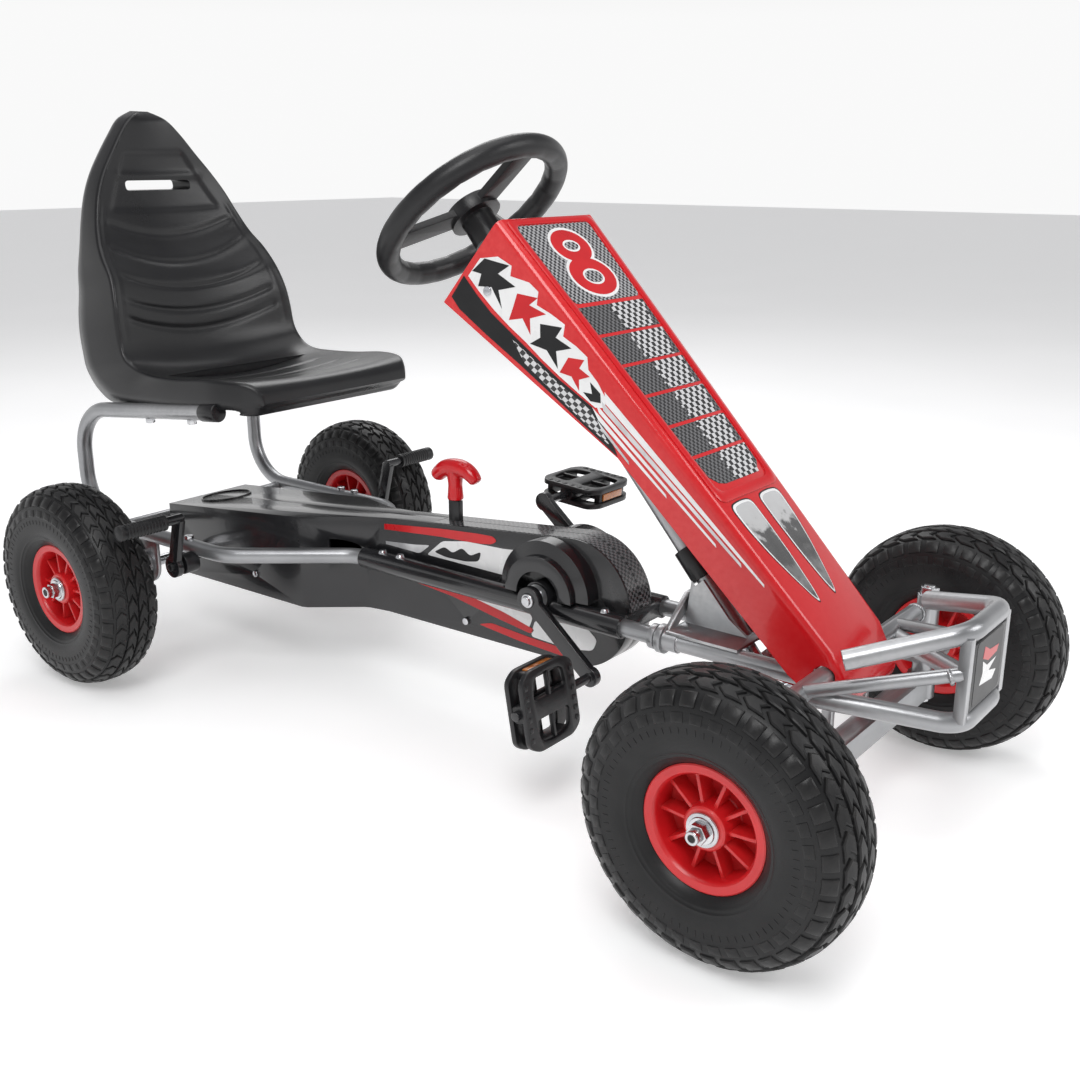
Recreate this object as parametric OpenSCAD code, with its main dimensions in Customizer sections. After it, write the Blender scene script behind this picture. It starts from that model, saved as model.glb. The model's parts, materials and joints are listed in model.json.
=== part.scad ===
// Pedal go kart for one rider: tube frame, chain drive to the rear axle, tilted
// steering column, two kingpin steered front wheels and a moulded bucket seat.
// Every module is drawn with x measured forward from the rear axle, y to the
// rider's left and z up from the ground; on_floor() then moves it so that the
// origin lies under the middle of the kart.

/* [Wheels] */
// Outside radius of the tyres
tyre_r = 130; // [124:1:134]
// Width of the tyres
tyre_w = 84; // [76:1:88]
// Radius of the rim flange
rim_r = 57.5; // [56:0.5:60]
// Number of spokes in each rim
spokes = 10; // [5:1:12]
// Distance between the front and rear axles
wheelbase = 946; // [940:1:952]
// Distance between the middles of the front tyres
front_track = 507; // [503:1:511]
// Distance between the middles of the rear tyres
rear_track = 502; // [500:1:510]

/* [Frame tubes] */
// Radius of the bent side tubes that carry the seat
side_r = 10; // [9.5:0.1:10]
// Radius of the black centre sleeves
sleeve_r = 13; // [12.5:0.1:13]
// Radius of the front rails
rail_r = 9.5; // [9:0.1:9.5]
// Wall of every frame tube
wall = 1.8; // [1.2:0.1:2]
// Height of the rails above the ground
rail_z = 173; // [172:1:174]
// Distance of the side tubes from the middle plane
side_y = 146; // [145:1:148]
// Distance of the sleeves and rails from the middle plane
rail_y = 40; // [39:0.5:41]
// Radius of the two rounded ends of the seat tubes
loop_r = 66; // [62:1:68]

/* [Pedals] */
// Distance of the crank ahead of the rear axle
crank_x = 594; // [590:1:598]
// Height of the crank above the ground
crank_z = 188; // [187:1:190]
// Length of the crank arms
crank_len = 108; // [104:1:110]
// Angle of the right crank arm below the horizontal
crank_angle = 40; // [36:1:44]
// Teeth on the chainring
ring_teeth = 26; // [24:2:26]
// Teeth on the rear sprocket
sprocket_teeth = 13; // [12:1:13]

/* [Steering] */
// Slope of the steering column below the horizontal
column_slope = 49; // [48:0.5:50]
// Radius of the steering wheel to the middle of its rim
wheel_ring_r = 107; // [100:1:110]
// Half of the thickness of the steering wheel rim
wheel_grip_r = 13; // [11:0.5:14]
// Length of the steering arm under the column
pitman_len = 46; // [44:1:48]
// Distance of the kingpins from the middle plane
kingpin_y = 172; // [170:1:174]

/* [Seat] */
// Thickness of the moulded seat wall
seat_wall = 5; // [4:0.5:6]
// Width of the handle slot in the backrest
slot_w = 104; // [60:1:110]

/* [Hidden] */
$fn = 48;
seat_back_x = -156;
bumper_front = 1075.5;
floor_mid_x = (wheelbase + tyre_r + seat_back_x) / 2;

red = [0.80, 0.07, 0.09];
silver = [0.66, 0.67, 0.69];
zinc = [0.80, 0.80, 0.82];
black = [0.06, 0.06, 0.07];
soft_black = [0.11, 0.11, 0.12];
steel_grey = [0.38, 0.38, 0.40];

front_y = front_track / 2;
rear_y = rear_track / 2;
axle_z = tyre_r;
rear_axle_r = 7;
stub_r = 6;
running = 0.05;      // radial clearance of a shaft in its bearing
gap = 0.4;           // clearance between faces that slide past each other
bearing_r = 14;
bearing_w = 10;
hub_r = 17;
hub_half = 28;

// wheel nut, washer and stud at the end of an axle
nut_r = 9.5;
nut_h = 9;
washer_r = 15;
washer_h = 2.5;
stud_out = 7;

// seat tubes: the C-shaped loop behind the seat
loop_x = -59;
loop_low_z = rail_z + loop_r;
loop_high_z = loop_low_z + 27;
seat_tube_tilt = 6;
seat_tube_len = 214;
seat_bolts_x = [35, 122];
bend_x = 162;
neck_x = 297;
sleeve_x0 = 308;
sleeve_x1 = 700;
rail_x1 = 946;

// front end
axle_tube_x = 940;
axle_tube_z = 186;
axle_tube_r = 10;
beam_z = 103;
beam_h = 26;
kingpin_x = wheelbase + 4;
kingpin_r = 6;
knuckle_low = beam_z + beam_h / 2 + 0.3;
knuckle_high = 170;
eye_top = 206;
arm_back = 60;
arm_z = 134;
rod_r = 4;
rod_z = 118;

// steering column: distances are measured down the column from the wheel hub
column_x = 462;
column_z = 594;
column_r = 10;
column_top = 62;
column_end = 556;
shaft_r = 7;
shaft_end = 602;
strap_at = 115;
strap_screw = 21;
collar_at = 440;
pitman_at = 588;
pitman_hole_r = 9;
pitman_hole_y = 10;
plate_h = 4;

// chain case outlines, front to back
case_y = 22;
case_wall = 2.5;
case_screws_x = [120, 460];
case_screw_z = 118;
boss_r = 61;
boss_step_r = 46;
boss_open_r = 29;
shell_r = 17;
bolt_r = 3;
crank_r = 8;
crank_y = 66;
arm_t = 9;
pedal_y = 149;

lever_x = 427;
lever_pivot_z = 227;

brake_x = 112;
brake_z = 158;
brake_y = side_y + side_r + 27;

// ---------------------------------------------------------------- helpers

module on_floor() { translate([-floor_mid_x, 0, 0]) children(); }

// a cylinder of length h centred on y
module along_y(r, h) { rotate([90, 0, 0]) cylinder(r = r, h = h, center = true); }

// a cylinder of length h from the origin towards +x
module along_x(r, h) { rotate([0, 90, 0]) cylinder(r = r, h = h); }

// the frame of the steering column: z points down the column, x points forward and up
module on_column(s) {
  translate([column_x + s * cos(column_slope), 0, column_z - s * sin(column_slope)])
    rotate([0, 90 + column_slope, 0]) rotate([0, 0, 180]) children();
}

module hexagon(r, h) { cylinder(r = r, h = h, $fn = 6); }

module mirror_copy() {
  children();
  mirror([0, 1, 0]) children();
}

function unit(v) = v / norm(v);

// a solid bar from a to b
module bar(a, b, r) {
  d = b - a;
  translate(a) rotate([0, acos(d.z / norm(d)), atan2(d.y, d.x)]) cylinder(r = r, h = norm(d));
}

// points of the rounded corner at p between the directions u (in) and v (out)
function corner_path(p, u, v, bend) = let (
  turn = acos(u * v), steps = max(2, round(turn / 12)),
  out = unit(v - u), c = p + out * bend / cos(turn / 2), along = unit(u + v))
  [for (i = [0 : steps]) let (a = -turn / 2 + turn * i / steps)
    c - bend * cos(a) * out + bend * sin(a) * along];

// middle line of a tube bent through the points pts with the corner radii bends
function bent_path(pts, bends) = let (last = len(pts) - 1)
  concat([pts[0]], [for (i = [1 : last - 1]) each corner_path(pts[i],
    unit(pts[i] - pts[i - 1]), unit(pts[i + 1] - pts[i]), bends[i - 1])], [pts[last]]);

function path_dir(path, i) = let (last = len(path) - 1)
  unit((i < last ? unit(path[i + 1] - path[i]) : [0, 0, 0])
    + (i > 0 ? unit(path[i] - path[i - 1]) : [0, 0, 0]));

// normal carried along the path without twisting, starting from n0
function path_normal(path, i, n0) = let (
  t = path_dir(path, i), n = i == 0 ? n0 : path_normal(path, i - 1, n0)) unit(n - (n * t) * t);

// a tube of outside radius r along a path, open at both ends
module tube_sweep(path, r, n0 = [0, 1, 0]) {
  sides = 16;
  rings = len(path);
  frames = [for (i = [0 : rings - 1]) let (n = path_normal(path, i, n0))
    [n, cross(path_dir(path, i), n)]];
  points = [for (rad = [r, r - wall], i = [0 : rings - 1], k = [0 : sides - 1])
    path[i] + rad * (cos(360 * k / sides) * frames[i][0] + sin(360 * k / sides) * frames[i][1])];
  inner = rings * sides;
  last = (rings - 1) * sides;
  faces = [for (i = [0 : rings - 2], k = [0 : sides - 1]) let (
    a = i * sides + k, b = i * sides + (k + 1) % sides, c = b + sides, d = a + sides)
    each [[a, d, c, b], [inner + a, inner + b, inner + c, inner + d]]];
  ends = [for (k = [0 : sides - 1]) let (n = (k + 1) % sides)
    each [[k, n, inner + n, inner + k], [last + k, inner + last + k, inner + last + n, last + n]]];
  polyhedron(points, concat(faces, ends));
}

// ---------------------------------------------------------------- wheels

// rounded-square carcass section, r across and y up, as a power curve
function carcass(half_h, half_w, mid_r) = [for (a = [0 : 12 : 348]) let (p = 0.76)
  [mid_r + half_h * sign(cos(a)) * pow(abs(cos(a)), p),
   half_w * sign(sin(a)) * pow(abs(sin(a)), p)]];

module tyre(y) {
  bead_r = 51;
  half_h = (tyre_r - bead_r) / 2;
  mid_r = bead_r + half_h;
  casing = 7;
  translate([0, y, axle_z]) rotate([90, 0, 0]) rotate_extrude() {
    difference() {
      polygon(carcass(half_h, tyre_w / 2, mid_r));
      polygon(carcass(half_h - casing, tyre_w / 2 - casing, mid_r));
      translate([bead_r - 2, -18]) square([20, 36]);
    }
  }
}

module rim(y) {
  barrel_r = 50.6;
  barrel_half = 30;
  flange_w = 3;
  translate([0, y, axle_z]) rotate([90, 0, 0]) difference() {
    union() {
      rotate_extrude() union() {
        translate([46.5, -barrel_half]) square([barrel_r - 46.5, 2 * barrel_half]);
        for (s = [0, 1]) mirror([0, s])
          translate([46.5, barrel_half - flange_w]) square([rim_r - 46.5, flange_w]);
      }
      cylinder(r = hub_r, h = 2 * hub_half, center = true);
      for (i = [0 : spokes - 1]) rotate([0, 0, i * 360 / spokes])
        translate([hub_r - 2, -3, -20]) cube([46.5 - hub_r + 3, 6, 40]);
      translate([0, 0, -2]) difference() {
        cylinder(r = 48, h = 4);
        for (i = [0 : spokes - 1]) rotate([0, 0, (i + 0.5) * 360 / spokes])
          translate([34, 0, -1]) cylinder(r = 6, h = 6);
      }
    }
    cylinder(r = bearing_r, h = 4 * hub_half, center = true);
  }
}

// two ball bearings drawn as rings, one at each end of the hub
module hub_bearings(y, shaft) {
  for (s = [-1, 1]) translate([0, y + s * (hub_half - bearing_w / 2), axle_z])
    rotate([90, 0, 0]) difference() {
      cylinder(r = bearing_r, h = bearing_w, center = true);
      cylinder(r = shaft + running, h = 2 * bearing_w, center = true);
    }
}

// washer and nut on the outer end of an axle; bore fits the axle
module end_nut(y, shaft, side) {
  outer = y + side * (hub_half + gap);
  translate([0, outer, axle_z]) rotate([-90 * side, 0, 0]) difference() {
    union() {
      cylinder(r = washer_r, h = washer_h);
      translate([0, 0, washer_h]) hexagon(nut_r, nut_h);
    }
    translate([0, 0, -1]) cylinder(r = shaft, h = 40);
  }
}

module tyre_front_left() { color(soft_black) translate([wheelbase, 0, 0]) tyre(front_y); }
module tyre_front_right() { color(soft_black) translate([wheelbase, 0, 0]) tyre(-front_y); }
module tyre_rear_left() { color(soft_black) tyre(rear_y); }
module tyre_rear_right() { color(soft_black) tyre(-rear_y); }

module rim_front_left() { color(red) translate([wheelbase, 0, 0]) rim(front_y); }
module rim_front_right() { color(red) translate([wheelbase, 0, 0]) rim(-front_y); }
module rim_rear_left() { color(red) rim(rear_y); }
module rim_rear_right() { color(red) rim(-rear_y); }

module bearings_front_left() {
  color(steel_grey) translate([wheelbase, 0, 0]) hub_bearings(front_y, stub_r);
}
module bearings_front_right() {
  color(steel_grey) translate([wheelbase, 0, 0]) hub_bearings(-front_y, stub_r);
}
module bearings_rear_right() { color(steel_grey) hub_bearings(-rear_y, rear_axle_r); }

// ---------------------------------------------------------------- frame

// middle of the front end of the seat tube, and of its rear end at the loop
seat_tube_rear = [loop_x - loop_r * sin(seat_tube_tilt), side_y,
  loop_high_z + loop_r * cos(seat_tube_tilt)];
seat_tube_dir = [cos(seat_tube_tilt), 0, sin(seat_tube_tilt)];
seat_tube_front = seat_tube_rear + seat_tube_len * seat_tube_dir;

// points of the seat loop about height z, from angle a0 to a1 above the +x direction
function loop_path(z, a0, a1) = [for (a = [a0 : 12 : a1])
  [loop_x + loop_r * cos(a), side_y, z + loop_r * sin(a)]];

// the left tube: seat rest, loop behind the seat, side rail, taper to the sleeve
module side_tube() {
  tube_sweep(concat([seat_tube_front], loop_path(loop_high_z, 90 + seat_tube_tilt, 180),
    loop_path(loop_low_z, 180, 264), bent_path([[loop_x, side_y, rail_z],
      [bend_x, side_y, rail_z], [neck_x, rail_y, rail_z], [sleeve_x0 + 24, rail_y, rail_z]],
      [60, 50])), side_r);
}

module frame_side_left() { color(silver) side_tube(); }

module frame_side_right() { color(silver) mirror([0, 1, 0]) side_tube(); }

// cross tube behind the chain case and the two plates that hang the axle bearings
module rear_carrier() {
  cross_x = -70;
  plate_t = 5;
  color(silver) {
    translate([cross_x, 0, rail_z - 8]) difference() {
      along_y(9, 2 * side_y - 2 * side_r + 4);
      along_y(9 - wall, 2 * side_y);
    }
    mirror_copy() translate([0, side_y, 0]) rotate([90, 0, 0])
      translate([0, axle_z, -plate_t / 2]) difference() {
        union() {
          cylinder(r = 25, h = plate_t);
          translate([-25, 0, 0]) cube([50, rail_z - axle_z - 7, plate_t]);
        }
        translate([0, 0, -1]) cylinder(r = bearing_r + 2, h = plate_t + 2);
      }
  }
}

module rear_axle_bearings() {
  color(steel_grey) mirror_copy() translate([0, side_y, axle_z]) rotate([90, 0, 0])
    difference() {
      union() {
        cylinder(r = bearing_r + 2, h = 14, center = true);
        translate([0, 0, 2.5]) cylinder(r = bearing_r + 5, h = 3);
      }
      cylinder(r = rear_axle_r + running, h = 40, center = true);
    }
}

// black sleeves that join side tubes and front rails, with the crank bearing shells
module centre_frame() {
  color(black) {
    mirror_copy() difference() {
      union() {
        translate([sleeve_x0, rail_y, rail_z]) along_x(sleeve_r, sleeve_x1 - sleeve_x0);
        translate([crank_x, rail_y, crank_z]) along_y(shell_r, 27);
      }
      translate([sleeve_x0 - 1, rail_y, rail_z]) along_x(side_r, 200);
      translate([sleeve_x0 + 198, rail_y, rail_z]) along_x(rail_r, 300);
      translate([crank_x, rail_y, crank_z]) along_y(bearing_r, 60);
    }
    // strap in front of the chain case
    translate([sleeve_x1 - 4, -rail_y + sleeve_r - 3, rail_z - 9])
      cube([4, 2 * (rail_y - sleeve_r + 3), 18]);
  }
}

module crank_bearings() {
  color(steel_grey) mirror_copy() translate([crank_x, rail_y, crank_z]) rotate([90, 0, 0])
    difference() {
      cylinder(r = bearing_r, h = 26, center = true);
      cylinder(r = crank_r + running, h = 40, center = true);
    }
}

// rails, clamp collars, upper axle tube, lower axle beam and kingpin eyes
module front_frame() {
  eye_r = 12;
  drain_r = 3;
  color(silver) {
    mirror_copy() difference() {
      union() {
        translate([sleeve_x1 - 60, rail_y, rail_z]) along_x(rail_r, rail_x1 - sleeve_x1 + 60);
        translate([738, rail_y, rail_z]) along_x(rail_r + 4, 7);
        translate([748, rail_y, rail_z]) along_x(rail_r + 6, 7);
        translate([745, rail_y, rail_z]) along_x(rail_r + 2, 26);
        translate([kingpin_x, kingpin_y, knuckle_high + 0.3])
          cylinder(r = eye_r, h = eye_top - knuckle_high - 0.3);
        translate([kingpin_x, kingpin_y, beam_z - beam_h / 2]) cylinder(r = eye_r + 3, h = beam_h);
      }
      translate([sleeve_x1 - 61, rail_y, rail_z])
        along_x(rail_r - wall, rail_x1 - sleeve_x1 + 50);
      translate([kingpin_x, kingpin_y, beam_z - beam_h])
        cylinder(r = kingpin_r, h = 200);
    }
    translate([axle_tube_x, 0, axle_tube_z]) difference() {
      along_y(axle_tube_r, 2 * kingpin_y - 14);
      along_y(axle_tube_r - wall, 2 * kingpin_y - 40);
      translate([0, 0, -20]) cylinder(r = drain_r, h = 20);
    }
    difference() {
      translate([kingpin_x - 13, -kingpin_y + 8, beam_z - beam_h / 2])
        cube([24, 2 * kingpin_y - 16, beam_h]);
      translate([kingpin_x - 13 + wall, -kingpin_y + 16, beam_z - beam_h / 2 + wall])
        cube([24 - 2 * wall, 2 * kingpin_y - 32, beam_h - 2 * wall]);
      translate([kingpin_x, 0, beam_z - beam_h]) cylinder(r = drain_r, h = beam_h);
    }
    // posts between the lower beam and the upper tube
    mirror_copy() translate([axle_tube_x - 6, rail_y - 4, beam_z + beam_h / 2 - 1])
      cube([10, 8, axle_tube_z - beam_z - beam_h / 2 - 4]);
  }
}

// bolts that the front wheels steer about, with their heads and nuts
module kingpins() {
  low = beam_z - beam_h / 2;
  high = eye_top;
  color(zinc) mirror_copy() translate([kingpin_x, kingpin_y, 0]) {
    translate([0, 0, low - 6]) hexagon(10, 6);
    translate([0, 0, low - 1]) cylinder(r = kingpin_r, h = high - low + 12);
    translate([0, 0, high]) cylinder(r = 12, h = 2);
    translate([0, 0, high + 2]) hexagon(10.5, 7);
  }
}

// plate, two gussets and an A-shaped strap that hold the foot of the column
module column_base() {
  top_z = rail_z + rail_r;
  plate_t = 3;
  apex_z = 216;
  color(steel_grey) difference() {
    union() {
      translate([758, -rail_y - 8, top_z - 0.5]) cube([84, 2 * rail_y + 16, plate_t]);
      mirror_copy() translate([0, column_r + plate_t, 0]) rotate([90, 0, 0])
        linear_extrude(plate_t) polygon([[760, top_z], [838, top_z], [812, 200], [776, 240],
          [766, 232]]);
      rotate([90, 0, 90]) translate([0, 0, 754]) linear_extrude(6) polygon([
        [rail_y + 6, top_z], [rail_y - 8, top_z], [0, apex_z - 12], [8 - rail_y, top_z],
        [-rail_y - 6, top_z], [-6, apex_z], [6, apex_z]]);
    }
    on_column(0) cylinder(r = column_r, h = 700);
    on_column(collar_at - 1) cylinder(r = column_r + 4.8, h = 40);
  }
}

// outer tube of the column, with the strap that the bonnet is screwed to
module column_tube() {
  strap_half = 78.5;
  color(silver) on_column(0) difference() {
    union() {
      translate([0, 0, column_top]) cylinder(r = column_r, h = column_end - column_top);
      translate([8, -strap_half, strap_at - 11]) cube([3, 2 * strap_half, 22]);
      mirror_copy() translate([8, strap_half - 3, strap_at - 11]) cube([26, 3, 22]);
    }
    translate([0, 0, column_top - 1]) cylinder(r = column_r - 1.5, h = 600);
    translate([strap_screw, 0, strap_at]) along_y(2.5, 200);
  }
}

module column_bushes() {
  color(black) on_column(0) {
    for (s = [column_top, column_end - 22]) translate([0, 0, s]) difference() {
      union() {
        cylinder(r = column_r - 1.5, h = 22);
        if (s == column_top) translate([0, 0, -4]) cylinder(r = column_r + 2, h = 4);
      }
      translate([0, 0, -5]) cylinder(r = shaft_r + running, h = 40);
    }
    translate([0, 0, collar_at]) difference() {
      cylinder(r = column_r + 4.5, h = 36);
      translate([0, 0, -1]) cylinder(r = column_r, h = 40);
    }
  }
}

// middle of the guard's front tubes
guard_r = 9.5;
guard_x = bumper_front - guard_r;

// upper hoop of the front guard, open at both ends
module bumper_upper() {
  color(silver) tube_sweep(bent_path([[976, 100, 226], [guard_x, 42, 256],
    [guard_x, -42, 256], [976, -100, 226]], [30, 30]), guard_r, [0, 0, 1]);
}

// lower hoop, welded to the upper axle tube
module bumper_lower() {
  color(silver) tube_sweep(bent_path([[944, 96, 181], [guard_x, 46, 169],
    [guard_x, -46, 169], [944, -96, 181]], [30, 30]), guard_r, [0, 0, 1]);
}

// flat struts between the hoops, and round braces back to the axle tube
module bumper_braces() {
  color(silver) mirror_copy() {
    translate([guard_x - 5, 41, 172]) cube([10, 10, 80]);
    bar([axle_tube_x + 4, 108, 190], [guard_x - 2, 46, 218], 6.5);
  }
}

// number plate between the struts: a raised flat face in front of a base that the hoops hold
module bumper_plate() {
  half = 40.9;
  color(soft_black) {
    translate([guard_x, -half, 176]) cube([3, 2 * half, 74]);
    translate([guard_x + 2, -half, 180]) cube([3, 2 * half, 65]);
  }
}

// side outline of the bonnet: [x, z] from the top rear corner round to the nose
bonnet_side = [[566, 592], [495, 506], [712, 366], [905, 180], [940, 156], [960, 154],
  [968, 168], [945, 210]];
bonnet_rear_half = 88;
bonnet_nose_half = 57;
bonnet_screw_y = 83;

module bonnet_block(inset) {
  intersection() {
    rotate([90, 0, 0]) linear_extrude(200, center = true) offset(delta = -inset)
      polygon(bonnet_side);
    translate([0, 0, 100]) linear_extrude(600) polygon([
      [480, bonnet_rear_half - inset], [480, -bonnet_rear_half + inset],
      [980, -bonnet_nose_half + inset], [980, bonnet_nose_half - inset]]);
  }
}

// one-piece moulded cover over the column, open underneath and at the rear
module bonnet() {
  skin = 3;
  notch = axle_tube_r + 1.5;
  color(red) difference() {
    bonnet_block(0);
    bonnet_block(skin);
    translate([-8, 0, -9]) bonnet_block(skin + 0.01);
    translate([-20, 0, -8]) bonnet_block(skin + 0.02);
    translate([-3, 0, -22]) bonnet_block(skin + 0.03);
    translate([axle_tube_x, 0, axle_tube_z]) along_y(notch, 200);
    translate([axle_tube_x - notch, -100, axle_tube_z - 60]) cube([2 * notch, 200, 60]);
    on_column(strap_at) translate([strap_screw, 0, 0]) along_y(2.5, 300);
  }
}

// self-tapping screws of the bonnet and of the chain case
module cover_screws() {
  color(zinc) mirror_copy() {
    on_column(strap_at) translate([strap_screw, bonnet_screw_y, 0]) {
      rotate([90, 0, 0]) cylinder(r = 2.5, h = 12);
      rotate([-90, 0, 0]) cylinder(r = 5, h = 2.5);
    }
    for (x = case_screws_x) case_screw(x);
  }
}

// one screw through the left wall of the case, its head on the skin
module case_screw(x) {
  y = x < 200 ? 67 - (x + 56) * 6 / 264 - 0.3 : case_y - 0.2;
  translate([x, y, case_screw_z]) {
    rotate([-90, 0, 0]) cylinder(r = 4.5, h = 2.7);
    rotate([90, 0, 0]) cylinder(r = 2, h = 9);
  }
}

// ---------------------------------------------------------------- chain case

// [x, half width] along the case from the rear
case_plan = [[-56, 67], [208, 61], [290, 28], [330, case_y], [720, case_y]];

module case_block(inset) {
  intersection() {
    rotate([90, 0, 0]) linear_extrude(200, center = true) case_side(inset);
    linear_extrude(300) offset(delta = -inset)
      polygon(concat(case_plan, [for (i = [4 : -1 : 0]) [case_plan[i].x, -case_plan[i].y]]));
  }
}

// side outline: sloping top, round nose about the chainring
module case_side(inset) {
  nose_x = 622;
  nose_z = 178;
  nose_r = 74;
  polygon([[-56 + inset, 106], [-40, 90 + inset], [215, 90 + inset], [300, 100 + inset],
    [nose_x, nose_z - nose_r + inset], [nose_x, nose_z + nose_r - inset],
    [-56 + inset, 187 - inset]]);
  translate([nose_x, nose_z]) circle(r = nose_r - inset);
}

// stepped half-dome over the crank bearing, drawn for the left side
module crank_boss() {
  translate([crank_x, 0, crank_z]) rotate([-90, 0, 0]) rotate([0, 0, 180])
    rotate_extrude(angle = 180) polygon([[boss_r, case_y - case_wall], [boss_r, 42],
      [boss_step_r, 44], [boss_step_r, 54], [boss_open_r, 55], [boss_open_r, 52],
      [boss_step_r - 3, 51], [boss_step_r - 3, 41.5], [boss_r - 3, 39.5],
      [boss_r - 3, case_y - case_wall]]);
}

// left half of the case, meeting the other half on the middle plane
module case_half() {
  difference() {
    union() {
      difference() {
        case_block(0);
        case_block(case_wall);
      }
      difference() {
        crank_boss();
        case_block(case_wall);
      }
    }
    translate([-100, -100, 0]) cube([900, 100, 400]);
    translate([crank_x, rail_y, crank_z]) along_y(shell_r + 1.5, 2 * (rail_y - case_y) + 10);
    translate([crank_x, 0, crank_z]) along_y(crank_r + 3, 100);
    translate([sleeve_x0 - 60, rail_y, rail_z]) along_x(sleeve_r + 1.5, 600);
    translate([0, 60, axle_z]) along_y(rear_axle_r + 6, 60);
    translate([lever_x - 22, -9, 200]) cube([44, 18, 60]);
    for (x = case_screws_x) translate([x, case_y, case_screw_z]) along_y(2, 120);
  }
}

module chain_case_left() { color(black) case_half(); }

module chain_case_right() { color(black) mirror([0, 1, 0]) case_half(); }

// ---------------------------------------------------------------- drive

pitch = 12.7;
function pitch_r(teeth) = pitch / (2 * sin(180 / teeth));

// flat sprocket with pointed teeth; bore fits the shaft
module sprocket(teeth, bore) {
  r = pitch_r(teeth);
  step = 360 / teeth;
  rotate([90, 0, 0]) linear_extrude(3, center = true) difference() {
    polygon([for (i = [0 : teeth - 1], k = [[0, r - 4.2], [0.3, r - 4.2], [0.42, r + 2.6],
      [0.58, r + 2.6], [0.7, r - 4.2]])
      [k[1] * cos((i + k[0]) * step), k[1] * sin((i + k[0]) * step)]]);
    circle(r = bore);
  }
}

// outline of the chain run, grown by g outside the pitch line
module chain_outline(g) {
  hull() {
    translate([0, axle_z]) circle(r = pitch_r(sprocket_teeth) + g, $fn = 40);
    translate([crank_x, crank_z]) circle(r = pitch_r(ring_teeth) + g, $fn = 64);
  }
}

// side plates of the chain as two bands, one each side of the teeth
module chain() {
  color(steel_grey) mirror_copy() translate([0, 4.2, 0]) rotate([90, 0, 0])
    linear_extrude(1.6) difference() {
      chain_outline(4);
      chain_outline(-4);
    }
}

module rear_axle() {
  half = rear_y + hub_half + gap + washer_h + nut_h + stud_out;
  color(zinc) translate([0, 0, axle_z]) {
    along_y(rear_axle_r, 2 * half);
    translate([0, rear_y, 0]) along_y(bearing_r, 2 * hub_half);
  }
}

module rear_sprocket() {
  color(steel_grey) translate([0, 0, axle_z]) {
    rotate([0, 6, 0]) sprocket(sprocket_teeth, rear_axle_r);
    translate([0, 12, 0]) rotate([90, 0, 0]) difference() {
      cylinder(r = 13, h = 10.5);
      translate([0, 0, -1]) cylinder(r = rear_axle_r, h = 20);
    }
  }
}

module rear_axle_nuts() {
  color(zinc) {
    end_nut(rear_y, rear_axle_r, 1);
    end_nut(-rear_y, rear_axle_r, -1);
  }
}

module crank_axle() {
  color(zinc) translate([crank_x, 0, crank_z]) {
    along_y(crank_r, 2 * crank_y + arm_t + 4);
    mirror_copy() translate([0, crank_y + arm_t / 2 + 2, 0]) along_y(5.5, 6);
  }
}

module chainring() {
  color(steel_grey) translate([crank_x, 0, crank_z]) sprocket(ring_teeth, crank_r);
}

// one flat arm pointing along +x from the crank axle, with its pedal pin towards -y
module crank_arm() {
  pin_end = pedal_y - crank_y + pedal_w / 2 + 4;
  difference() {
    union() {
      along_y(15, arm_t);
      translate([0, -arm_t / 2, -9]) cube([crank_len, arm_t, 18]);
      translate([crank_len, 0, 0]) along_y(11, arm_t);
    }
    along_y(crank_r, 60);
  }
  translate([crank_len, pin_end / 2 - pin_end, 0]) along_y(5, pin_end);
}

module crank_arms() {
  color(black) translate([crank_x, 0, crank_z]) {
    rotate([0, crank_angle, 0]) translate([0, -crank_y, 0]) crank_arm();
    rotate([0, 180 + crank_angle, 0]) translate([0, crank_y, 0]) rotate([180, 0, 0])
      crank_arm();
  }
}

pedal_len = 86;
pedal_w = 84;
pedal_t = 26;

// pedal body about its own pin: two treads joined by end walls and a centre barrel
module pedal() {
  tread = 7;
  difference() {
    union() {
      for (s = [-1, 1]) translate([0, 0, s * (pedal_t - tread) / 2]) difference() {
        cube([pedal_len, pedal_w, tread], center = true);
        for (k = [-1, 1]) translate([k * 22, 0, 0])
          cube([20, pedal_w - 30, 2 * tread], center = true);
      }
      along_y(10, pedal_w - 2);
      for (k = [-1, 1]) translate([k * (pedal_len / 2 - 8), 0, 0])
        cube([6, pedal_w - 14, pedal_t - 2], center = true);
    }
    along_y(5 + running, 2 * pedal_w);
  }
}

// pin position of a crank arm: side is 1 on the left and -1 on the right
function pin_at(side) = [crank_x - side * crank_len * cos(crank_angle), side * pedal_y,
  crank_z + side * crank_len * sin(crank_angle)];

module pedal_left() { color(black) translate(pin_at(1)) rotate([0, 4, 0]) pedal(); }

module pedal_right() { color(black) translate(pin_at(-1)) rotate([0, 80, 0]) pedal(); }

// selector lever: flat blade on a cross pin held under the top of the case
module gear_lever() {
  color(black) translate([lever_x, 0, lever_pivot_z]) {
    along_y(3, 24);
    translate([-8, -4, -2]) cube([16, 8, 34]);
    translate([-5, -3, 0]) cube([10, 6, 54]);
  }
}

// T-shaped knob with a drooping rear end
module gear_knob() {
  color(red) translate([lever_x, 0, lever_pivot_z]) difference() {
    union() {
      translate([-30, 0, 58]) rotate([0, -18, 0]) along_x(12, 34);
      translate([-1, 0, 68]) rotate([0, 12, 0]) along_x(11, 36);
      translate([0, 0, 33]) cylinder(r = 10, h = 34);
    }
    translate([-5, -3, 0]) cube([10, 6, 54]);
  }
}

// ---------------------------------------------------------------- brakes

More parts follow.
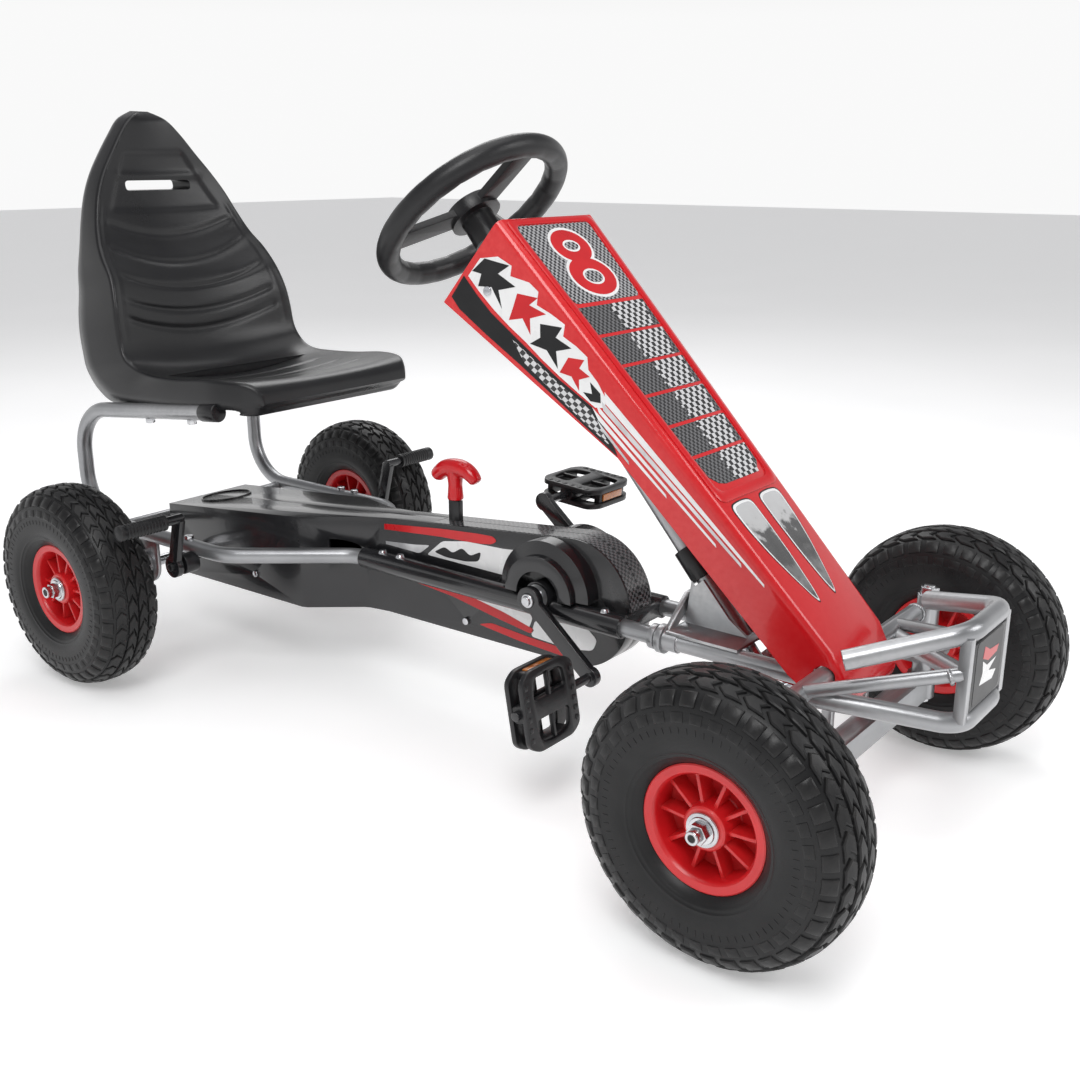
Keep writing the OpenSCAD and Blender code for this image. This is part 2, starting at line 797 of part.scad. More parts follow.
// stand-off bracket and pin that each brake lever turns on
module brake_brackets() {
  color(black) mirror_copy() {
    translate([brake_x, side_y + side_r - 3, brake_z]) rotate([-90, 0, 0])
      cylinder(r = 13, h = 20);
    translate([brake_x, side_y + side_r - 3, brake_z]) rotate([-90, 0, 0])
      cylinder(r = 5, h = 38);
  }
}

// lever for the left side: eye, upright and the bar that the grip covers
module brake_lever() {
  bar_z = 66;
  bar_x = 18;
  color(black) translate([brake_x, brake_y, brake_z]) difference() {
    union() {
      along_y(14, 8);
      rotate([0, 15, 0]) translate([-8, -4, 0]) cube([16, 8, 68]);
      translate([bar_x, -4, bar_z]) rotate([-90, 0, 0]) cylinder(r = 6, h = 88);
    }
    along_y(5 + running, 40);
  }
}

module brake_grip() {
  color(soft_black) translate([brake_x + 18, brake_y + 22, brake_z + 66])
    rotate([-90, 0, 0]) difference() {
      cylinder(r = 10, h = 66);
      translate([0, 0, -1]) cylinder(r = 6, h = 63);
    }
}

module brake_lever_left() { brake_lever(); }
module brake_lever_right() { mirror([0, 1, 0]) brake_lever(); }
module brake_grip_left() { brake_grip(); }
module brake_grip_right() { mirror([0, 1, 0]) brake_grip(); }

// ---------------------------------------------------------------- steering

module steering_wheel_rim() {
  color(soft_black) on_column(0) rotate_extrude($fn = 72) translate([wheel_ring_r, 0])
    circle(r = wheel_grip_r);
}

// hub and three flat spokes moulded in one, ending against the grip
module steering_wheel_spider() {
  spoke_w = 27;
  spoke_t = 8;
  reach = wheel_ring_r - wheel_grip_r + 2;
  color(black) on_column(0) difference() {
    union() {
      cylinder(r = 30, h = 16, center = true);
      translate([0, 0, 6]) cylinder(r = 19, h = 34);
      for (a = [0, 115, 245]) rotate([0, 0, a])
        translate([10, -spoke_w / 2, -spoke_t / 2]) cube([reach - 10, spoke_w, spoke_t]);
    }
    translate([0, 0, -2]) cylinder(r = shaft_r, h = 60);
  }
}

// steering shaft with the arm that pushes the tie rods
module steering_shaft() {
  color(zinc) on_column(0) {
    translate([0, 0, -2]) cylinder(r = shaft_r, h = shaft_end + 2);
    translate([0, 0, pitman_at]) difference() {
      union() {
        cylinder(r = 13, h = plate_h);
        translate([-pitman_len, -14, 0]) cube([pitman_len, 28, plate_h]);
        translate([-pitman_len - 14, -22, 0]) cube([26, 44, plate_h]);
      }
      for (s = [-1, 1]) translate([-pitman_len - 2, s * pitman_hole_y, -1])
        cylinder(r = pitman_hole_r, h = plate_h + 2);
    }
  }
}

// kingpin sleeve, stub axle and steering arm of the left front wheel
module knuckle() {
  plate_t = 6;
  tip = front_y + hub_half + gap + washer_h + nut_h + stud_out;
  color(silver) difference() {
    union() {
      translate([kingpin_x, kingpin_y, knuckle_low])
        cylinder(r = 11, h = knuckle_high - knuckle_low);
      translate([wheelbase, kingpin_y + 2, axle_z]) rotate([-90, 0, 0])
        cylinder(r = stub_r, h = tip - kingpin_y - 2);
      translate([wheelbase, kingpin_y + 2, axle_z]) rotate([-90, 0, 0])
        cylinder(r = 10, h = front_y - hub_half - gap - kingpin_y - 2);
      translate([kingpin_x - arm_back, kingpin_y - 14, arm_z - plate_t / 2])
        cube([arm_back, 16, plate_t]);
      translate([kingpin_x - arm_back, kingpin_y - 6, arm_z - plate_t / 2])
        cylinder(r = 10, h = plate_t);
    }
    translate([kingpin_x, kingpin_y, 50]) cylinder(r = kingpin_r + running, h = 300);
    translate([kingpin_x - arm_back, kingpin_y - 6, 50])
      cylinder(r = rod_r + running, h = 200);
  }
}

module knuckle_left() { knuckle(); }
module knuckle_right() { mirror([0, 1, 0]) knuckle(); }

module front_left_nut() {
  color(zinc) translate([wheelbase, 0, 0]) end_nut(front_y, stub_r, 1);
}
module front_right_nut() {
  color(zinc) translate([wheelbase, 0, 0]) end_nut(-front_y, stub_r, -1);
}

// left tie rod: a pin up through the steering arm, a pin down through the pitman plate
module tie_rod() {
  eye_r = 8;
  outer = [kingpin_x - arm_back, kingpin_y - 6, rod_z];
  s = pitman_at + plate_h / 2;
  hole = [column_x + s * cos(column_slope) - pitman_len * sin(column_slope), pitman_hole_y,
    column_z - s * sin(column_slope) - pitman_len * cos(column_slope)];
  down = [cos(column_slope), 0, -sin(column_slope)];
  inner = hole + 14 * down;
  color(zinc) {
    bar(outer, inner, rod_r);
    translate(outer - [0, 0, eye_r - 1]) cylinder(r = eye_r, h = 2 * eye_r - 2);
    translate(outer) cylinder(r = rod_r, h = arm_z - rod_z + 14);
    translate(outer + [0, 0, arm_z - rod_z + 3.4]) hexagon(7, 6);
    bar(inner - eye_r * down, inner + eye_r * down, eye_r);
    bar(hole - 10 * down, inner, rod_r);
    bar(hole - 10 * down, hole - 7 * down, rod_r + 5);
  }
}

module tie_rod_left() { tie_rod(); }
module tie_rod_right() { mirror([0, 1, 0]) tie_rod(); }

// ---------------------------------------------------------------- seat

// stations along the edge of the seat, from the top of the back to the front lip:
// [x, z, half width, dish of the middle, x and z of the rear or lower corner]
seat_path = [
  [-131, 712, 8, 0, -152, 713], [-121, 702, 30, 2, seat_back_x, 702],
  [-116, 684, 48, 4, -156, 682], [-111, 657, 69, 6, -156, 655],
  [-105, 632, 88, 9, -153, 629], [-97, 607, 103, 12, -148, 603],
  [-87, 579, 115, 14, -143, 572], [-74, 553, 125, 16, -138, 540], [-55, 530, 134, 18, -136, 508],
  [-35, 504, 138, 20, -135, 478], [-24, 476, 143, 22, -134, 452], [-19, 450, 146, 22, -132, 428],
  [-14, 421, 147, 22, -128, 402], [-4, 404, 148, 22, -120, 376], [14, 394, 146, 20, -98, 350],
  [36, 390, 146, 18, -60, 337], [70, 390, 150, 17, 40, 340], [110, 392, 151, 16, 104, 344],
  [150, 396, 151, 14, 148, 347], [172, 397, 150, 12, 172, 350], [190, 397, 146, 9, 189, 352],
  [208, 396, 138, 6, 206, 352], [221, 391, 130, 3, 215, 354], [229, 382, 125, 1, 220, 360],
  [232, 370, 121, 0, 226, 364]];
seat_half_ring = 6;
seat_open_from = 15;   // first station whose section is open underneath

// unit direction of the path at station i, and the same turned to face the rider
function seat_dir(i) = let (
  a = seat_path[max(i - 1, 0)], b = seat_path[min(i + 1, len(seat_path) - 1)])
  unit([b.x - a.x, b.y - a.y]);
function seat_up(i) = [-seat_dir(i).y, seat_dir(i).x];

// closed section at station i: the face across the seat, then the rounded rear corners;
// inset draws the hollow inside, which runs out through the bottom of the pan
function seat_section(i, inset) = let (
  s = seat_path[i], n = seat_up(i), half = s[2] - inset,
  deep = unit([s[4] - s.x, s[5] - s.y]),
  open = inset > 0 && i >= seat_open_from ? 40 : -inset,
  rear = [s[4], s[5]] + deep * open, knee = [s.x, s.y] * 0.3 + [s[4], s[5]] * 0.7)
  concat(
    [for (k = [-seat_half_ring : seat_half_ring]) let (
      u = k / seat_half_ring, drop = s[3] * (1 - u * u) + inset)
      [s.x - n.x * drop, half * u, s.y - n.y * drop]],
    [[knee.x, half, knee.y], [rear.x, half * 0.9, rear.y],
      [rear.x, -half * 0.9, rear.y], [knee.x, -half, knee.y]]);

module seat_block(inset, first, last) {
  count = 2 * seat_half_ring + 5;
  rings = last - first + 1;
  points = [for (i = [first : last]) each seat_section(i, inset)];
  sides = [for (i = [0 : rings - 2], k = [0 : count - 1]) let (n = (k + 1) % count)
    [i * count + k, i * count + n, (i + 1) * count + n, (i + 1) * count + k]];
  polyhedron(points, concat(sides, [[for (k = [count - 1 : -1 : 0]) k],
    [for (k = [0 : count - 1]) (rings - 1) * count + k]]));
}

// handle slot through the backrest, grown by g
module seat_slot(g) {
  slot_z = 616;
  slot_r = 6.5;
  hull() for (k = [-1, 1]) translate([-190, k * (slot_w / 2 - slot_r), slot_z])
    along_x(slot_r + g, 170);
}

// blow-moulded shell, open under the pan, with bosses for the four seat bolts
module seat() {
  boss = 9;
  color(soft_black) difference() {
    union() {
      difference() {
        seat_block(0, 0, len(seat_path) - 1);
        difference() {
          seat_block(seat_wall, 1, len(seat_path) - 2);
          seat_slot(4);
        }
      }
      intersection() {
        seat_block(0, 0, len(seat_path) - 1);
        mirror_copy() for (x = seat_bolts_x) hull() for (k = [0, 1])
          translate([x, side_y - 3 - 6 * k, 300]) cylinder(r = boss, h = 120);
      }
    }
    seat_slot(0);
    mirror_copy() {
      tube_groove();
      for (x = seat_bolts_x) translate([x, side_y, 300]) cylinder(r = bolt_r, h = 100);
    }
  }
}

// room under the seat for the seat tube and its cap, left side
module tube_groove() {
  rest = [seat_tube_rear - 60 * seat_tube_dir, seat_tube_front];
  hull() for (p = rest, k = [0, -60]) translate(p + [0, 0, k])
    rotate([90, 0, 90]) cylinder(r = side_r + gap, h = 0.1);
  hull() for (x = [-6, 60], k = [0, -60]) translate(seat_tube_front + x * seat_tube_dir + [0, 0, k])
    rotate([90, 0, 90]) cylinder(r = side_r + 1.5 + gap, h = 0.1);
}

// height of the middle of the seat tube at x
function seat_tube_z(x) = seat_tube_rear.z + (x - seat_tube_rear.x) * tan(seat_tube_tilt);

// bolts of the seat, of the side tubes and of the sleeves, with their heads
module frame_bolts() {
  color(zinc) mirror_copy() {
    for (x = seat_bolts_x) translate([x, side_y, seat_tube_z(x) - side_r - 5]) {
      hexagon(6, 6);
      cylinder(r = bolt_r, h = 40);
    }
    for (x = [67, 95]) translate([x, side_y, rail_z + side_r - 1]) hexagon(6, 5);
    for (x = [sleeve_x0 + 32, sleeve_x0 + 62, sleeve_x1 - 24])
      translate([x, rail_y, rail_z + sleeve_r - 1]) cylinder(r1 = 6, r2 = 4, h = 4);
  }
}

// plastic plugs on the front ends of the seat tubes
module tube_end_caps() {
  color(black) mirror_copy() translate(seat_tube_front) rotate([0, -seat_tube_tilt, 0]) {
    along_x(side_r + 1.5, 30);
    translate([-16, 0, 0]) along_x(side_r - wall, 20);
  }
}

// ---------------------------------------------------------------- nodes

on_floor() frame_side_left();
on_floor() frame_side_right();
on_floor() rear_carrier();
on_floor() rear_axle_bearings();
on_floor() centre_frame();
on_floor() crank_bearings();
on_floor() front_frame();
on_floor() kingpins();
on_floor() column_base();
on_floor() column_tube();
on_floor() column_bushes();
on_floor() bumper_upper();
on_floor() bumper_lower();
on_floor() bumper_braces();
on_floor() bumper_plate();
on_floor() bonnet();
on_floor() cover_screws();
on_floor() chain_case_right();
on_floor() chain_case_left();
on_floor() chain();
on_floor() seat();
on_floor() frame_bolts();
on_floor() tube_end_caps();
on_floor() brake_brackets();
on_floor() steering_wheel_rim();
on_floor() steering_wheel_spider();
on_floor() steering_shaft();
on_floor() knuckle_left();
on_floor() knuckle_right();
on_floor() front_left_nut();
on_floor() front_right_nut();
on_floor() tie_rod_left();
on_floor() tie_rod_right();
on_floor() tyre_front_left();
on_floor() tyre_front_right();
on_floor() rim_front_left();
on_floor() rim_front_right();
on_floor() bearings_front_left();
on_floor() bearings_front_right();
on_floor() rear_axle();
on_floor() rear_sprocket();
on_floor() rear_axle_nuts();
on_floor() tyre_rear_left();
on_floor() rim_rear_left();
on_floor() tyre_rear_right();
on_floor() rim_rear_right();
on_floor() bearings_rear_right();
on_floor() crank_axle();
on_floor() chainring();
on_floor() crank_arms();
on_floor() pedal_left();
on_floor() pedal_right();
on_floor() gear_lever();
on_floor() gear_knob();
on_floor() brake_lever_left();
on_floor() brake_lever_right();
on_floor() brake_grip_left();
on_floor() brake_grip_right();
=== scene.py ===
"""Looks of the pedal go kart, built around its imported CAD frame.

Lengths inside this script are in kart millimetres: x forward from the rear axle, y to the
rider's left, z up from the ground. kart() turns them into row-frame metres.
"""
import json
import math

import bmesh
import bpy
import numpy as np
from mathutils import Matrix, Vector

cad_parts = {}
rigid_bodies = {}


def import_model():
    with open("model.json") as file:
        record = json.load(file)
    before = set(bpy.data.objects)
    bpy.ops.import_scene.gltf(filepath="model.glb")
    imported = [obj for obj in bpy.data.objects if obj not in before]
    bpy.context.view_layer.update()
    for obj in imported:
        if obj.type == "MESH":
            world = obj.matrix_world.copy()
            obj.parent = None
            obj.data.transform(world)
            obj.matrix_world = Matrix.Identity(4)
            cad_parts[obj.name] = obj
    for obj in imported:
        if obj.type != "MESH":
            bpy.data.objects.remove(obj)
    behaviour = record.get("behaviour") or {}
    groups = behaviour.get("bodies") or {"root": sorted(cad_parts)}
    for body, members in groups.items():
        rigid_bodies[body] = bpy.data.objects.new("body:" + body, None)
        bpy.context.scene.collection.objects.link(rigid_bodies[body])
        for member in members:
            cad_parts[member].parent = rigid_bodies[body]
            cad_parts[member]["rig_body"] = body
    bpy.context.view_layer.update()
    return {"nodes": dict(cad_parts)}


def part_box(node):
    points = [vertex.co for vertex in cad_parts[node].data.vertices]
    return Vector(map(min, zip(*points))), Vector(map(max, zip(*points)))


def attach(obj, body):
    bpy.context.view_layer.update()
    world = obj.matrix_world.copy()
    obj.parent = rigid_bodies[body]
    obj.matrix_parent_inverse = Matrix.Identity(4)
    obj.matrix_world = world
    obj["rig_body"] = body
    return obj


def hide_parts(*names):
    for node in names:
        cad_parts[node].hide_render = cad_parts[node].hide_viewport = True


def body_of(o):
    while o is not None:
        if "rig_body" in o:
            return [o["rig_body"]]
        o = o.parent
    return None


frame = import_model()
NODES = frame["nodes"]
BODY_OF = {node: body_of(obj)[0] for node, obj in NODES.items()}
MM = 0.001
FLOOR_MID_X = 460
SEAT_SLOT_Z = 616
SIDES = ((-1, "right"), (1, "left"))
SIDE_Y, RAIL_Y, RAIL_Z = 146, 40, 173
AXLE_TUBE_X, AXLE_TUBE_Z = 940, 186
CRANK_X, CRANK_Z, CRANK_LEN, CRANK_ANGLE = 594, 188, 108, math.radians(40)
STEER_RING_R, STEER_GRIP_R = 107, 13
HUB_FACE, WASHER_H, NUT_H, STUD_OUT = 28.4, 2.5, 9, 7
GUARD_FACE_X = 1071


def kart(x, y, z):
    return Vector((x - FLOOR_MID_X, y, z)) * MM


# ---------------- materials

def add(tree, kind, **values):
    """A shader node with its inputs set: From_Min stands for the input From Min."""
    node = tree.nodes.new("ShaderNode" + kind)
    for key, value in values.items():
        node.inputs[key.replace("_", " ")].default_value = value
    return node


def set_ramp(ramp, *ends):
    for element, (place, colour) in zip(ramp.color_ramp.elements, ends):
        element.position = place
        element.color = (*colour, 1)


def film_uv(tree):
    uv = add(tree, "UVMap")
    uv.uv_map = "film"
    return uv.outputs["UV"]


def material(name, dark, light, rough, metallic=0.0, coat=0.0, patch=12.0, grain=900.0,
             bump=0.05, uneven=0.08, worn=None, specular=0.5):
    """Two close tones in soft patches, uneven gloss and a fine grain in the surface."""
    mat = bpy.data.materials.new(name)
    mat.use_nodes = True
    tree = mat.node_tree
    shader = tree.nodes["Principled BSDF"]
    shader.inputs["Metallic"].default_value = metallic
    shader.inputs["Coat Weight"].default_value = coat
    shader.inputs["Coat Roughness"].default_value = 0.06
    shader.inputs["Specular IOR Level"].default_value = specular
    coords = add(tree, "TexCoord")
    soft = add(tree, "TexNoise", Scale=patch, Detail=5)
    fine = add(tree, "TexNoise", Scale=grain, Detail=2)
    tones = add(tree, "ValToRGB")
    set_ramp(tones, (0.3, dark), (0.7, light))
    gloss = add(tree, "MapRange", To_Min=max(rough - uneven, 0.02), To_Max=rough + uneven)
    height = add(tree, "Bump", Strength=bump, Distance=0.0005)
    link = tree.links.new
    for noise in (soft, fine):
        link(coords.outputs["Object"], noise.inputs["Vector"])
    link(soft.outputs["Fac"], tones.inputs["Fac"])
    link(soft.outputs["Fac"], gloss.inputs["Value"])
    link(fine.outputs["Fac"], height.inputs["Height"])
    link(gloss.outputs["Result"], shader.inputs["Roughness"])
    link(height.outputs["Normal"], shader.inputs["Normal"])
    colour = tones.outputs["Color"]
    if worn:
        colour = worn_edges(tree, coords, colour, worn)
    link(colour, shader.inputs["Base Color"])
    return mat


def worn_edges(tree, coords, colour, worn):
    """Blends towards the worn colour on sharp outer edges, broken up by noise."""
    geometry = add(tree, "NewGeometry")
    scratch = add(tree, "TexNoise", Scale=160)
    edge = add(tree, "MapRange", From_Min=0.53, From_Max=0.62)
    both = add(tree, "Math")
    both.operation = "MULTIPLY"
    mix = add(tree, "MixRGB", Color2=(*worn, 1))
    link = tree.links.new
    link(coords.outputs["Object"], scratch.inputs["Vector"])
    link(geometry.outputs["Pointiness"], edge.inputs["Value"])
    link(edge.outputs["Result"], both.inputs[0])
    link(scratch.outputs["Fac"], both.inputs[1])
    link(both.outputs["Value"], mix.inputs["Fac"])
    link(colour, mix.inputs["Color1"])
    return mix.outputs["Color"]


def checker(name, first, second, cell, rough=0.25, metallic=0.0):
    """Printed film of small squares, laid out along the film in millimetres."""
    mat = material(name, first, second, rough, metallic, coat=0.6, bump=0.02)
    tree = mat.node_tree
    squares = add(tree, "TexChecker", Scale=1 / cell, Color1=(*first, 1), Color2=(*second, 1))
    tree.links.new(film_uv(tree), squares.inputs["Vector"])
    tree.links.new(squares.outputs["Color"],
                   tree.nodes["Principled BSDF"].inputs["Base Color"])
    return mat


def mirror_film(name):
    """Chrome-look print: bright at the top, a dark cloudy band lower down."""
    mat = material(name, (0.1, 0.1, 0.1), (0.9, 0.9, 0.9), 0.16, 0.55, coat=0.8)
    tree = mat.node_tree
    uv = film_uv(tree)
    split = add(tree, "SeparateXYZ")
    cloud = add(tree, "TexNoise", Scale=0.07, Detail=4)
    shift = add(tree, "Math")
    shift.operation = "MULTIPLY_ADD"
    shift.inputs[1].default_value = 70
    spread = add(tree, "MapRange", From_Min=385, From_Max=530)
    ramp = add(tree, "ValToRGB")
    set_ramp(ramp, (0, (0.86, 0.87, 0.88)), (1, (0.05, 0.05, 0.055)))
    for place, tone in ((0.35, 0.75), (0.42, 0.14), (0.62, 0.1), (0.8, 0.3)):
        ramp.color_ramp.elements.new(place).color = (tone, tone, tone, 1)
    link = tree.links.new
    link(uv, split.inputs["Vector"])
    link(uv, cloud.inputs["Vector"])
    link(cloud.outputs["Fac"], shift.inputs[0])
    link(split.outputs["X"], shift.inputs[2])
    link(shift.outputs["Value"], spread.inputs["Value"])
    link(spread.outputs["Result"], ramp.inputs["Fac"])
    link(ramp.outputs["Color"], tree.nodes["Principled BSDF"].inputs["Base Color"])
    return mat


MATERIALS = {
    "silver": material("silver_paint", (0.30, 0.305, 0.315), (0.39, 0.395, 0.405), 0.33, 0.8,
        coat=0.2, patch=18, grain=2200, bump=0.1, worn=(0.55, 0.55, 0.56)),
    "zinc": material("bright_zinc", (0.46, 0.47, 0.5), (0.66, 0.66, 0.67), 0.22, 1.0, patch=60,
        grain=1500, bump=0.06, worn=(0.85, 0.85, 0.85)),
    "steel": material("grey_steel", (0.3, 0.31, 0.32), (0.42, 0.43, 0.44), 0.36, 0.85, patch=40,
        grain=1300, bump=0.1, worn=(0.6, 0.6, 0.6)),
    "black": material("black_paint", (0.008, 0.008, 0.009), (0.016, 0.016, 0.018), 0.24, coat=0.35,
        patch=15, grain=1100, bump=0.05, worn=(0.07, 0.07, 0.07)),
    "plastic": material("black_plastic", (0.007, 0.007, 0.008), (0.013, 0.013, 0.014), 0.3,
        patch=9, grain=2600, bump=0.14, worn=(0.03, 0.03, 0.032), specular=0.42),
    "case": material("case_plastic", (0.009, 0.009, 0.01), (0.015, 0.015, 0.017), 0.22, coat=0.3,
        patch=8, grain=1600, bump=0.05, worn=(0.06, 0.06, 0.06)),
    "grip": material("soft_grip", (0.007, 0.007, 0.008), (0.013, 0.013, 0.014), 0.36, patch=30,
        grain=1800, bump=0.22, worn=(0.03, 0.03, 0.03), specular=0.4),
    "rubber": material("tyre_rubber", (0.006, 0.006, 0.0065), (0.014, 0.014, 0.0145), 0.36,
        patch=26, grain=1400, bump=0.2, uneven=0.12, worn=(0.035, 0.033, 0.032), specular=0.3),
    "red": material("red_plastic", (0.50, 0.003, 0.007), (0.58, 0.005, 0.010), 0.22, coat=0.45,
        patch=7, grain=1200, bump=0.03, worn=(0.66, 0.04, 0.04), specular=0.35),
    "rim_red": material("rim_red", (0.52, 0.008, 0.012), (0.63, 0.014, 0.018), 0.34, coat=0.2,
        patch=30, grain=1500, bump=0.08, worn=(0.72, 0.09, 0.08)),
    "amber": material("amber_reflector", (0.3, 0.07, 0.004), (0.5, 0.16, 0.01), 0.14, coat=0.8,
        patch=90, grain=600, bump=0.3),
    "dark": material("deep_shadow", (0.004, 0.004, 0.004), (0.01, 0.01, 0.01), 0.6, patch=40),
    "print_white": material("print_white", (0.72, 0.72, 0.72), (0.82, 0.82, 0.82), 0.28, coat=0.6,
        patch=20, bump=0.02),
    "print_grey": material("print_grey", (0.4, 0.4, 0.41), (0.75, 0.75, 0.76), 0.28, coat=0.6,
        patch=26, bump=0.02),
    "print_black": material("print_black", (0.004, 0.004, 0.005), (0.009, 0.009, 0.01), 0.4,
        coat=0.15, patch=30, bump=0.02, specular=0.3),
    "print_red": material("print_red", (0.48, 0.004, 0.008), (0.58, 0.008, 0.012), 0.3, coat=0.3,
        patch=25, bump=0.02, specular=0.35),
    "film_silver": checker("film_silver", (0.36, 0.36, 0.37), (0.022, 0.022, 0.025), 3.6),
    "film_carbon": checker("film_carbon", (0.13, 0.13, 0.135), (0.012, 0.012, 0.013), 3.6),
    "film_white": checker("film_white", (0.6, 0.6, 0.61), (0.012, 0.012, 0.013), 5.6),
    "film_chrome": mirror_film("film_chrome"),
}


# ---------------- mesh helpers

def finish_piece(obj, look, body, node=None, sharp=38):
    """Gives a piece its material, shading and body, and hides the CAD nodes it stands for."""
    obj.data.materials.clear()
    obj.data.materials.append(MATERIALS[look])
    for face in obj.data.polygons:
        face.material_index = 0
        face.use_smooth = True
    obj.data.set_sharp_from_angle(angle=math.radians(sharp))
    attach(obj, body)
    for name in [node] if isinstance(node, str) else node or []:
        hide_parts(name)
    return obj


def new_object(name, mesh):
    obj = bpy.data.objects.new(name, mesh)
    bpy.context.scene.collection.objects.link(obj)
    return obj


def face_outwards(mesh):
    bm = bmesh.new()
    bm.from_mesh(mesh)
    bmesh.ops.recalc_face_normals(bm, faces=bm.faces)
    bm.to_mesh(mesh)
    bm.free()
    return mesh


def mesh_object(name, points, faces):
    """A piece from points in kart millimetres."""
    mesh = bpy.data.meshes.new(name)
    mesh.from_pydata([kart(*p) for p in points], [], faces)
    mesh.validate()
    return new_object(name, face_outwards(mesh))


def mesh_from(bm, name):
    mesh = bpy.data.meshes.new(name)
    bm.to_mesh(mesh)
    bm.free()
    return mesh


def skin(rings, count, wrap=False, caps=False):
    """Quads between rings of count points; wrap joins the last ring to the first one and
    caps shuts both ends."""
    faces = []
    for i in range(rings if wrap else rings - 1):
        a, b = i * count, (i + 1) % rings * count
        for k in range(count):
            n = (k + 1) % count
            faces.append((a + k, a + n, b + n, b + k))
    if caps:
        faces += [tuple(range(count)), tuple(range((rings - 1) * count, rings * count))]
    return faces


def around(radius, sides):
    """Points (radius cos, radius sin) evenly round a circle."""
    turns = [2 * math.pi * k / sides for k in range(sides)]
    return [(radius * math.cos(t), radius * math.sin(t)) for t in turns]


def soft_corner(before, p, after, r, steps):
    """Points of a soft corner at p, r long along each of its two edges."""
    a, b = p + unit(before - p) * r, p + unit(after - p) * r
    spread = [k / steps for k in range(steps + 1)]
    return [(1 - t) ** 2 * a + 2 * t * (1 - t) * p + t * t * b for t in spread]


def modify(obj, kind, **settings):
    """Applies one modifier to a piece's own mesh."""
    mod = obj.modifiers.new(kind, kind)
    for key, value in settings.items():
        setattr(mod, key, value)
    depsgraph = bpy.context.evaluated_depsgraph_get()
    made = bpy.data.meshes.new_from_object(obj.evaluated_get(depsgraph))
    obj.modifiers.clear()
    made.name = obj.name
    obj.data = made
    return obj


def bevel(obj, width, angle=40, segments=2):
    return modify(obj, "BEVEL", width=width * MM, segments=segments, limit_method="ANGLE",
                  angle_limit=math.radians(angle), use_clamp_overlap=True)


def cut(obj, *tools):
    """Takes the tools' volumes out of a piece."""
    for tool in tools:
        modify(obj, "BOOLEAN", object=tool, operation="DIFFERENCE", solver="EXACT")
        bpy.data.objects.remove(tool)
    return obj


def clean(mesh):
    """Merges doubled points and flat neighbouring triangles."""
    bm = bmesh.new()
    bm.from_mesh(mesh)
    bmesh.ops.remove_doubles(bm, verts=bm.verts, dist=4e-6)
    bmesh.ops.dissolve_limit(bm, angle_limit=math.radians(0.7), verts=bm.verts,
                             edges=bm.edges, use_dissolve_boundaries=False)
    bm.to_mesh(mesh)
    bm.free()


def refine(node, look, width=1.0, segments=2, sharp=38):
    """A copy of a CAD node with its edges rounded over."""
    mesh = NODES[node].data.copy()
    clean(mesh)
    obj = new_object(node + "_detail", mesh)
    if width:
        bevel(obj, width, segments=segments)
    return finish_piece(obj, look, BODY_OF[node], node, sharp)


def carry_over(node, look):
    """Keeps the CAD node as it is and paints it."""
    slots = NODES[node].material_slots
    for slot in slots:
        slot.material = MATERIALS[look]
    if not slots:
        NODES[node].data.materials.append(MATERIALS[look])


def unit(v):
    return v / np.linalg.norm(v)


def corner_path(p, u, v, radius, step=5):
    """Points of the round corner at p between the directions u (in) and v (out)."""
    turn = math.acos(float(np.clip(u @ v, -1, 1)))
    count = max(3, round(math.degrees(turn) / step))
    out = unit(v - u)
    centre = p + out * radius / math.cos(turn / 2)
    along = unit(u + v)
    angles = [-turn / 2 + turn * i / count for i in range(count + 1)]
    return [centre - radius * math.cos(a) * out + radius * math.sin(a) * along for a in angles]


def bent_path(points, radii):
    """Middle line of a tube bent through the points."""
    pts = [np.array(p, float) for p in points]
    path = [pts[0]]
    for i, radius in enumerate(radii, 1):
        path += corner_path(pts[i], unit(pts[i] - pts[i - 1]), unit(pts[i + 1] - pts[i]), radius)
    return path + [pts[-1]]


def sweep(name, path, radius, wall=0.0, sides=32, start=(0, 1, 0)):
    """A round tube along a path; with a wall its ends are open, without one they are shut."""
    path = [np.array(p, float) for p in path]
    normal = np.array(start, float)
    frames = []
    for i in range(len(path)):
        ahead = path[min(i + 1, len(path) - 1)] - path[i]
        behind = path[i] - path[max(i - 1, 0)]
        tangent = unit(sum(unit(d) for d in (ahead, behind) if np.linalg.norm(d) > 0))
        normal = unit(normal - (normal @ tangent) * tangent)
        frames.append((normal, np.cross(tangent, normal)))
    rings = [(radius, centre, axes) for centre, axes in zip(path, frames)]
    if wall:
        rings += [(radius - wall, centre, axes) for _, centre, axes in reversed(rings)]
    points = [centre + u * n + v * b for rad, centre, (n, b) in rings
              for u, v in around(rad, sides)]
    return mesh_object(name, points, skin(len(rings), sides, bool(wall), not wall))


def revolve(name, profile, place, sides=64, closed=False):
    """Turns (radius, along) points about an axis; place(r cos, r sin, along) gives the point."""
    points = [place(u, v, h) for r, h in profile for u, v in around(r, sides)]
    return mesh_object(name, points, skin(len(profile), sides, closed, not closed))


def box_object(name, low, high, turn=None):
    """A box between two corners, placed by the matrix turn when given, in kart millimetres."""
    points = [Vector((x, y, z)) for x in (low[0], high[0]) for y in (low[1], high[1])
              for z in (low[2], high[2])]
    if turn:
        points = [turn @ p for p in points]
    faces = [(0, 1, 3, 2), (4, 6, 7, 5), (0, 4, 5, 1), (2, 3, 7, 6), (0, 2, 6, 4), (1, 5, 7, 3)]
    return mesh_object(name, [tuple(p) for p in points], faces)


def join(name, objects):
    """Several meshes as one piece."""
    bm = bmesh.new()
    for obj in objects:
        bm.from_mesh(obj.data)
        bpy.data.objects.remove(obj)
    return new_object(name, mesh_from(bm, name))


